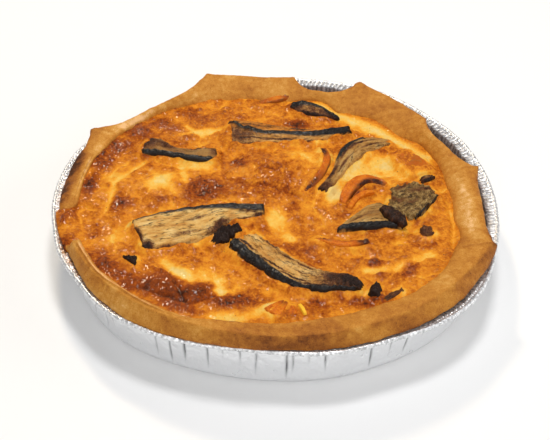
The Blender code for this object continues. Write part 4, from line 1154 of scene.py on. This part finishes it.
# Where the skin is smooth and shines most
GLAZED = (-54, -78, 27, 12, -30)
LAP_WIDTH = 2.6
FAR = 99.0
# Under its skin the filling goes in and down past a shoulder's height, then a radius and height each
FILLING_SHOULDER = 26.5
FILLING_WAIST = (97.0, 17.0)
FILLING_FOOT = (92.0, 4.6)
BROWNEST = 0.78
PALEST = 0.20
CUSTARD_TONES = (
    (0, (0.74, 0.54, 0.19)),
    (0.14, (0.78, 0.47, 0.085)),
    (0.3, (0.76, 0.315, 0.024)),
    (0.45, (0.61, 0.196, 0.013)),
    (0.6, (0.42, 0.108, 0.006)),
    (0.76, (0.28, 0.053, 0.003)),
    (0.92, (0.13, 0.024, 0.003)),
    (1, (0.05, 0.012, 0.004)),
)


def disc_grid(cells):
    """A square grid bent into a disc: the share of the way from the middle, and the angle."""
    line = np.linspace(-1, 1, cells + 1)
    a, b = np.meshgrid(line, line)
    wide = np.abs(a) > np.abs(b)
    share = np.maximum(np.abs(a), np.abs(b))
    safe = np.where(share == 0, 1, np.where(wide, a, b))
    turn = np.where(wide, 45 * b / safe + 180 * (a < 0), 90 - 45 * a / safe + 180 * (b < 0))
    return share.ravel(), turn.ravel() % 360


def path_distance(x, y, path):
    """Distance to a path of straight stretches."""
    nearest = np.full(x.shape, FAR)
    for (start_x, start_y), (end_x, end_y) in zip(path, path[1:]):
        step_x, step_y = end_x - start_x, end_y - start_y
        share = ((x - start_x) * step_x + (y - start_y) * step_y) / (step_x ** 2 + step_y ** 2)
        share = np.clip(share, 0, 1)
        nearest = np.minimum(nearest, np.hypot(x - start_x - share * step_x, y - start_y - share * step_y))
    return nearest


def outline_distance(x, y, outline):
    """Distance to a closed outline, less than 0 inside it, and no exact distance far from it."""
    low, high = outline.min(0) - 3 * LAP_WIDTH, outline.max(0) + 3 * LAP_WIDTH
    close = (x > low[0]) & (x < high[0]) & (y > low[1]) & (y < high[1])
    near_x, near_y = x[close], y[close]
    closed = np.vstack([outline, outline[:1]])
    within = np.zeros(near_x.shape, bool)
    for (start_x, start_y), (end_x, end_y) in zip(closed, closed[1:]):
        if start_y != end_y:
            passes = (start_y > near_y) != (end_y > near_y)
            crossing = start_x + (end_x - start_x) * (near_y - start_y) / (end_y - start_y)
            within ^= passes & (near_x < crossing)
    away = np.full(x.shape, FAR)
    away[close] = path_distance(near_x, near_y, closed[::2]) * np.where(within, -1, 1)
    return away


def custard_flow():
    """Places of the smooth skin, run over the crust at the left, and how far in from its edge."""
    share, angle = disc_grid(CUSTARD_CELLS)
    edge_radius = custard_edge(angle)[0]
    spill = smooth_step((angle - OVERFLOW[0]) / 3) * smooth_step((OVERFLOW[1] - angle) / 2.5)
    reach = edge_radius + TUCK + spill * (OVERFLOW_REACH - edge_radius - TUCK)
    radius = share * reach
    x, y = radius * np.cos(np.radians(angle)), radius * np.sin(np.radians(angle))
    z = custard_level(x, y)
    covered = smooth_step((angle - OVERFLOW[0]) / 5) * smooth_step((OVERFLOW[1] - 1 - angle) / 3)
    over = smooth_step((radius - 96) / 10) * spill
    z = z + over * (OVERFLOW_HEIGHT + OVERFLOW_SWELL * covered - z)
    z = z - spill * OVERFLOW_DROOP * smooth_step((radius - 109) / 3.6)
    return x, y, z, angle, smooth_step((reach - radius) / 5)


def custard_laps(x, y, flat):
    """How far the skin climbs over the slices' edges, and the distance to the nearest slice."""
    lap, near = np.zeros(x.shape), np.full(x.shape, FAR)
    uneven = 0.28 * lumps(flat, 9, 33, 2)
    creep = smooth_step(0.2 + 1.6 * lumps(flat, 9, 34, 1))
    for outline, height, lap_share, crept in slice_outlines:
        away = outline_distance(x, y, outline)
        climb = np.exp(-(np.maximum(away, 0) / LAP_WIDTH) ** 2) * (lap_share + uneven)
        climb = height * (climb + crept * creep * np.exp(-((away + 0.8) / 1.6) ** 2))
        lap = np.where(np.abs(climb) > np.abs(lap), climb, lap)
        near = np.minimum(near, away)
    return lap, near


def skin_lines(x, y, flat, moved):
    """How deep and how much darker the skin is along its seams and its thin folds, by browning, with painted
    shadow between the pumpkin arcs.
    """
    depth, change = np.zeros(x.shape), np.zeros(x.shape)
    for size, width, paler, fold_depth in SKIN_FOLDS:
        fold = np.exp(-(lumps(moved, size, 40 + size) / width) ** 2)
        fold = fold * np.clip(0.45 + 1.4 * lumps(flat, 26, 50 + size), 0, 1)
        depth, change = depth + fold_depth * fold, change - paler * fold
    seam_x = x + SEAM_WANDER * (moved[:, 0] - x)
    seam_y = y + SEAM_WANDER * (moved[:, 1] - y)
    for width, seam_depth, darkening, path in SEAMS:
        line = np.exp(-(path_distance(seam_x, seam_y, path) / width) ** 2)
        depth, change = depth + seam_depth * line, change + darkening * line
    return depth, change


def custard_top():
    """Points of the custard's skin with its relief, how brown each is baked, with one painted shadow, and how
    pimpled it is.
    """
    x, y, z, angle, inward = custard_flow()
    flat = np.stack([x, y, 0 * x], -1)
    wander = [WANDER * lumps(flat, 8, seed, 3) for seed in (21, 22)]
    moved = flat + np.stack([*wander, 0 * x], -1)
    broad, middling, fine = lumps(flat, 15, 14, 2), lumps(flat, 6, 16, 2), lumps(flat, 2.3, 15, 2)
    tone = BASE_TONE + 0.10 * broad + 0.08 * (smooth_step(0.5 + 1.5 * middling) - 0.5) + 0.08 * fine
    for row in BROWNING:
        tone = tone + row[5] * smooth_step(spot(moved[:, 0], moved[:, 1], *row[:5]))
    depth, change = skin_lines(x, y, flat, moved)
    lap, near = custard_laps(x, y, flat)
    z = z + (lap - depth) * inward
    slab = smooth_step((np.interp(y, *zip(*SLAB_FRONT)) - x) / 1.4) * spot(x, y, *SLAB_SPREAD)
    z = z + SLAB_STEP * slab
    beside = np.exp(-((near - 0.6) / 1.6) ** 2)
    tone = tone + change + (0.30 * lumps(flat, 9, 31, 2) - 0.05) * beside
    browned = smooth_step((tone - 0.38) / 0.24)
    glazed = spot(moved[:, 0], moved[:, 1], *GLAZED)
    pimpled = (0.25 + 0.75 * browned) * (1 - 0.8 * glazed)
    blisters = np.abs(lumps(flat, 4.6, 12, 2)) + 0.7 * np.abs(lumps(flat, 2.3, 13, 2))
    puffs = 0.5 * broad + 0.6 * lumps(flat, 10, 11, 2) + 0.9 * glazed * lumps(flat, 6, 18, 1)
    puffs = puffs + 0.56 * middling + 0.42 * fine
    calm = (0.35 + 0.65 * inward) * (1 - 0.92 * np.exp(-(np.maximum(near, 0) / 1.8) ** 2))
    z = z + calm * (puffs + browned * (1 - 0.7 * glazed) * (0.95 * blisters - 0.35))
    tone = tone + browned * (0.20 * blisters - 0.07)
    tone = np.where(tone > BROWNEST, BROWNEST + 0.45 * (tone - BROWNEST), tone)
    tone = np.where(tone < PALEST, PALEST + 0.55 * (tone - PALEST), tone)
    return np.stack([x, y, z], -1), tone, pimpled, angle


def custard_skirt(ring, turn):
    """Rings that close the filling under its skin, hidden in the case."""
    radius, height = np.hypot(ring[:, 0], ring[:, 1]), ring[:, 2]
    inner = np.minimum(custard_edge(turn)[0], radius) - 1.0
    levels = ((radius - 0.6, height - 0.8), (inner, np.minimum(height - 1.5, FILLING_SHOULDER)),
              (np.minimum(inner - 2, FILLING_WAIST[0]), FILLING_WAIST[1]),
              (inner * 0 + FILLING_FOOT[0], FILLING_FOOT[1]))
    return [turned(turn, *level) for level in levels]


def custard_faces(border, rings):
    """Faces of the skin's grid, of the rings under its border and of the flat bottom."""
    row, column = np.meshgrid(np.arange(CUSTARD_CELLS), np.arange(CUSTARD_CELLS), indexing="ij")
    corner = row * (CUSTARD_CELLS + 1) + column
    corners = [corner, corner + 1, corner + CUSTARD_CELLS + 2, corner + CUSTARD_CELLS + 1]
    faces = np.stack(corners, -1).reshape(-1, 4).tolist()
    upper, first = border, (CUSTARD_CELLS + 1) ** 2
    for _ in range(rings):
        lower = first + np.arange(len(border))
        faces += np.stack([upper, lower, np.roll(lower, -1), np.roll(upper, -1)], -1).tolist()
        upper, first = lower, first + len(border)
    return faces + [upper[::-1].tolist()]


def custard_material():
    """Custard skin: yellow to dark brown by how far it baked, with painted shade in the hollows between its
    pimples, matt where pale, glossy where brown.
    """
    material, tree, surface = new_material("baked_custard", {
        "Specular IOR Level": 0.03, "Coat Roughness": 0.05, "Coat IOR": 1.33, "Roughness": 0.5})
    shade, height = grain(tree, 420.0, 1200.0)
    pimpled, tone = stored(tree, "pimpled"), stored(tree, "tone")
    domed = 1.0 - cell_distance(tree, 720.0)
    mottled = (shade - 0.5) * (pimpled * 0.20 + 0.14) + tone
    # Painted shade: the hollows between the pimples are darker than their domes
    mottled = (0.55 - domed) * pimpled * 0.26 + mottled
    raised = (height * 0.5 + domed * 0.45) * (pimpled * 0.7 + 0.3)
    fill_inputs(surface, {
        "Base Color": ramp(mottled, CUSTARD_TONES),
        "Coat Weight": ranged(tone, 0.30, 0.70, 0.11, 0.46),
        "Normal": bump(raised, 0.0010, 1.0),
    })
    return material


custard_points, custard_tone, custard_pimpled, custard_turn = custard_top()
grid = np.arange((CUSTARD_CELLS + 1) ** 2).reshape(CUSTARD_CELLS + 1, CUSTARD_CELLS + 1)
border = np.concatenate([grid[0, :-1], grid[:-1, -1], grid[-1, :0:-1], grid[:0:-1, 0]])
skirt = custard_skirt(custard_points[border], custard_turn[border])
hidden = len(skirt) * len(border)
custard = add_piece(
    "custard_filling_baked", np.vstack([custard_points, *skirt]), custard_faces(border, len(skirt)), {
        "tone": np.append(custard_tone, np.full(hidden, 0.4)),
        "pimpled": np.append(custard_pimpled, np.zeros(hidden)),
    })
custard.data.materials.append(custard_material())
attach(custard, "root")
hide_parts("custard_filling")

# Ground pepper
# Coarse black pepper stirred into the eggs, which shows as small dark grains on the skin.
PEPPER_SIZE = 0.26
PEPPER_PER_SQUARE_METRE = 7500
PEPPER_LOWEST = 28
PEPPER_SIZES = ((0.5, 0.4, 0.3), (1.3, 1.0, 0.8))
PEPPER_SEED = 4
PEPPER_COLOURS = ((0.012, 0.009, 0.007), (0.09, 0.05, 0.025))


def pepper_tree():
    """Scatter grains over the upper faces of what they lie on, each turned to its face and sized by chance.
    """
    tree, given, result = new_tree("pepper_scatter", "GeometryNodeTree", {
        "Geometry": "Geometry", "Grain Size": "Float", "Density": "Float", "Lowest": "Float",
        "Seed": "Int", "Material": "Material"}, {"Geometry": "Geometry"})
    position = add_node(tree, "GeometryNodeInputPosition")
    height = add_node(tree, "ShaderNodeSeparateXYZ", {0: position}).out(2)
    on_top = add_node(tree, "FunctionNodeCompare", {
        0: height, 1: given.out("Lowest")}, operation="GREATER_THAN")
    points = add_node(tree, "GeometryNodeDistributePointsOnFaces", {
        "Mesh": given, "Selection": on_top, "Density": given.out("Density"), "Seed": given.out("Seed")})
    shape = add_node(tree, "GeometryNodeMeshIcoSphere", {
        "Radius": given.out("Grain Size"), "Subdivisions": 1})
    sizes = add_node(tree, "FunctionNodeRandomValue", {
        0: PEPPER_SIZES[0], 1: PEPPER_SIZES[1], "Seed": given.out("Seed")}, data_type="FLOAT_VECTOR")
    placed = add_node(tree, "GeometryNodeInstanceOnPoints", {
        "Points": points, "Instance": shape, "Rotation": points.out("Rotation"), "Scale": sizes})
    return close_tree(given, result, placed)


def pepper_material():
    """Black pepper, from black to dark brown grain by grain."""
    material, tree, surface = new_material("ground_pepper", {"Roughness": 0.7})
    shade, height = grain(tree, 900.0, 3000.0)
    fill_inputs(surface, {
        "Base Color": mixed_colour(shade, *PEPPER_COLOURS), "Normal": bump(height, 0.0002, 0.6)})
    return material


pepper = bpy.data.objects.new("ground_pepper", custard.data.copy())
bpy.context.scene.collection.objects.link(pepper)
apply_tree(pepper, pepper_tree(), {
    "Grain Size": PEPPER_SIZE * MM,
    "Density": float(PEPPER_PER_SQUARE_METRE),
    "Lowest": PEPPER_LOWEST * MM,
    "Seed": PEPPER_SEED,
    "Material": pepper_material(),
})
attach(pepper, "root")

# Floor, light and camera
# A plain pale floor, four soft lamps and even light from all round, with the camera looking down
# from the front at the quiche's whole width.
FLOOR_HALF = 3000
FLOOR_COLOUR = (0.86, 0.86, 0.86, 1)
WORLD_LIGHT = 0.34
# Lamps: name, place, width, power and colour
LAMPS = (
    ("key_lamp", (0.05, 0.12, 1.15), 0.22, 5.4, (1, 1, 1)),
    ("back_lamp", (-0.25, 0.72, 0.90), 0.14, 4.6, (1, 0.84, 0.62)),
    ("fill_lamp", (-0.2, -1.1, 0.7), 1.2, 6.6, (1, 1, 1)),
    ("side_lamp", (1.1, -0.1, 0.5), 0.9, 4.2, (1, 1, 1)),
)
CAMERA_DROP = math.radians(39.0)
CAMERA_ROLL = math.radians(1.2)
CAMERA_AWAY = 0.604
AIM = Vector((-0.0012, -0.0167, 0.026))
FOCAL_PIXELS = 1200
IMAGE_WIDTH = 550
SENSOR_WIDTH = 36

floor_corners = [(FLOOR_HALF * x, FLOOR_HALF * y, 0) for x, y in ((-1, -1), (1, -1), (1, 1), (-1, 1))]
floor = add_piece("floor", floor_corners, [[0, 1, 2, 3]])
floor.data.materials.append(new_material("pale_floor", {
    "Base Color": FLOOR_COLOUR, "Roughness": 0.9, "Specular IOR Level": 0.1})[0])

scene = bpy.context.scene
scene.view_settings.view_transform = "Standard"
world = bpy.data.worlds.new("studio")
world.use_nodes = True
fill_inputs(world.node_tree.nodes["Background"], {"Color": (1, 1, 1, 1), "Strength": WORLD_LIGHT})
scene.world = world
for lamp_name, place, width, power, colour in LAMPS:
    lamp = bpy.data.lights.new(lamp_name, "AREA")
    lamp.size = width
    lamp.energy = power
    lamp.color = colour
    holder = bpy.data.objects.new(lamp_name, lamp)
    holder.location = place
    holder.rotation_euler = (-Vector(place)).to_track_quat("-Z", "Y").to_euler()
    scene.collection.objects.link(holder)

camera_data = bpy.data.cameras.new("camera")
camera_data.sensor_width = SENSOR_WIDTH
camera_data.lens = FOCAL_PIXELS / IMAGE_WIDTH * SENSOR_WIDTH
camera_data.clip_start = 0.01
camera = bpy.data.objects.new("camera", camera_data)
forward = Vector((0, math.cos(CAMERA_DROP), -math.sin(CAMERA_DROP)))
level_right = Vector((1, 0, 0))
level_up = Vector((0, math.sin(CAMERA_DROP), math.cos(CAMERA_DROP)))
right = level_right * math.cos(CAMERA_ROLL) + level_up * math.sin(CAMERA_ROLL)
up = level_up * math.cos(CAMERA_ROLL) - level_right * math.sin(CAMERA_ROLL)
facing = Matrix((right, up, -forward)).transposed().to_4x4()
camera.matrix_world = Matrix.Translation(AIM - forward * CAMERA_AWAY) @ facing
scene.collection.objects.link(camera)
scene.camera = camera
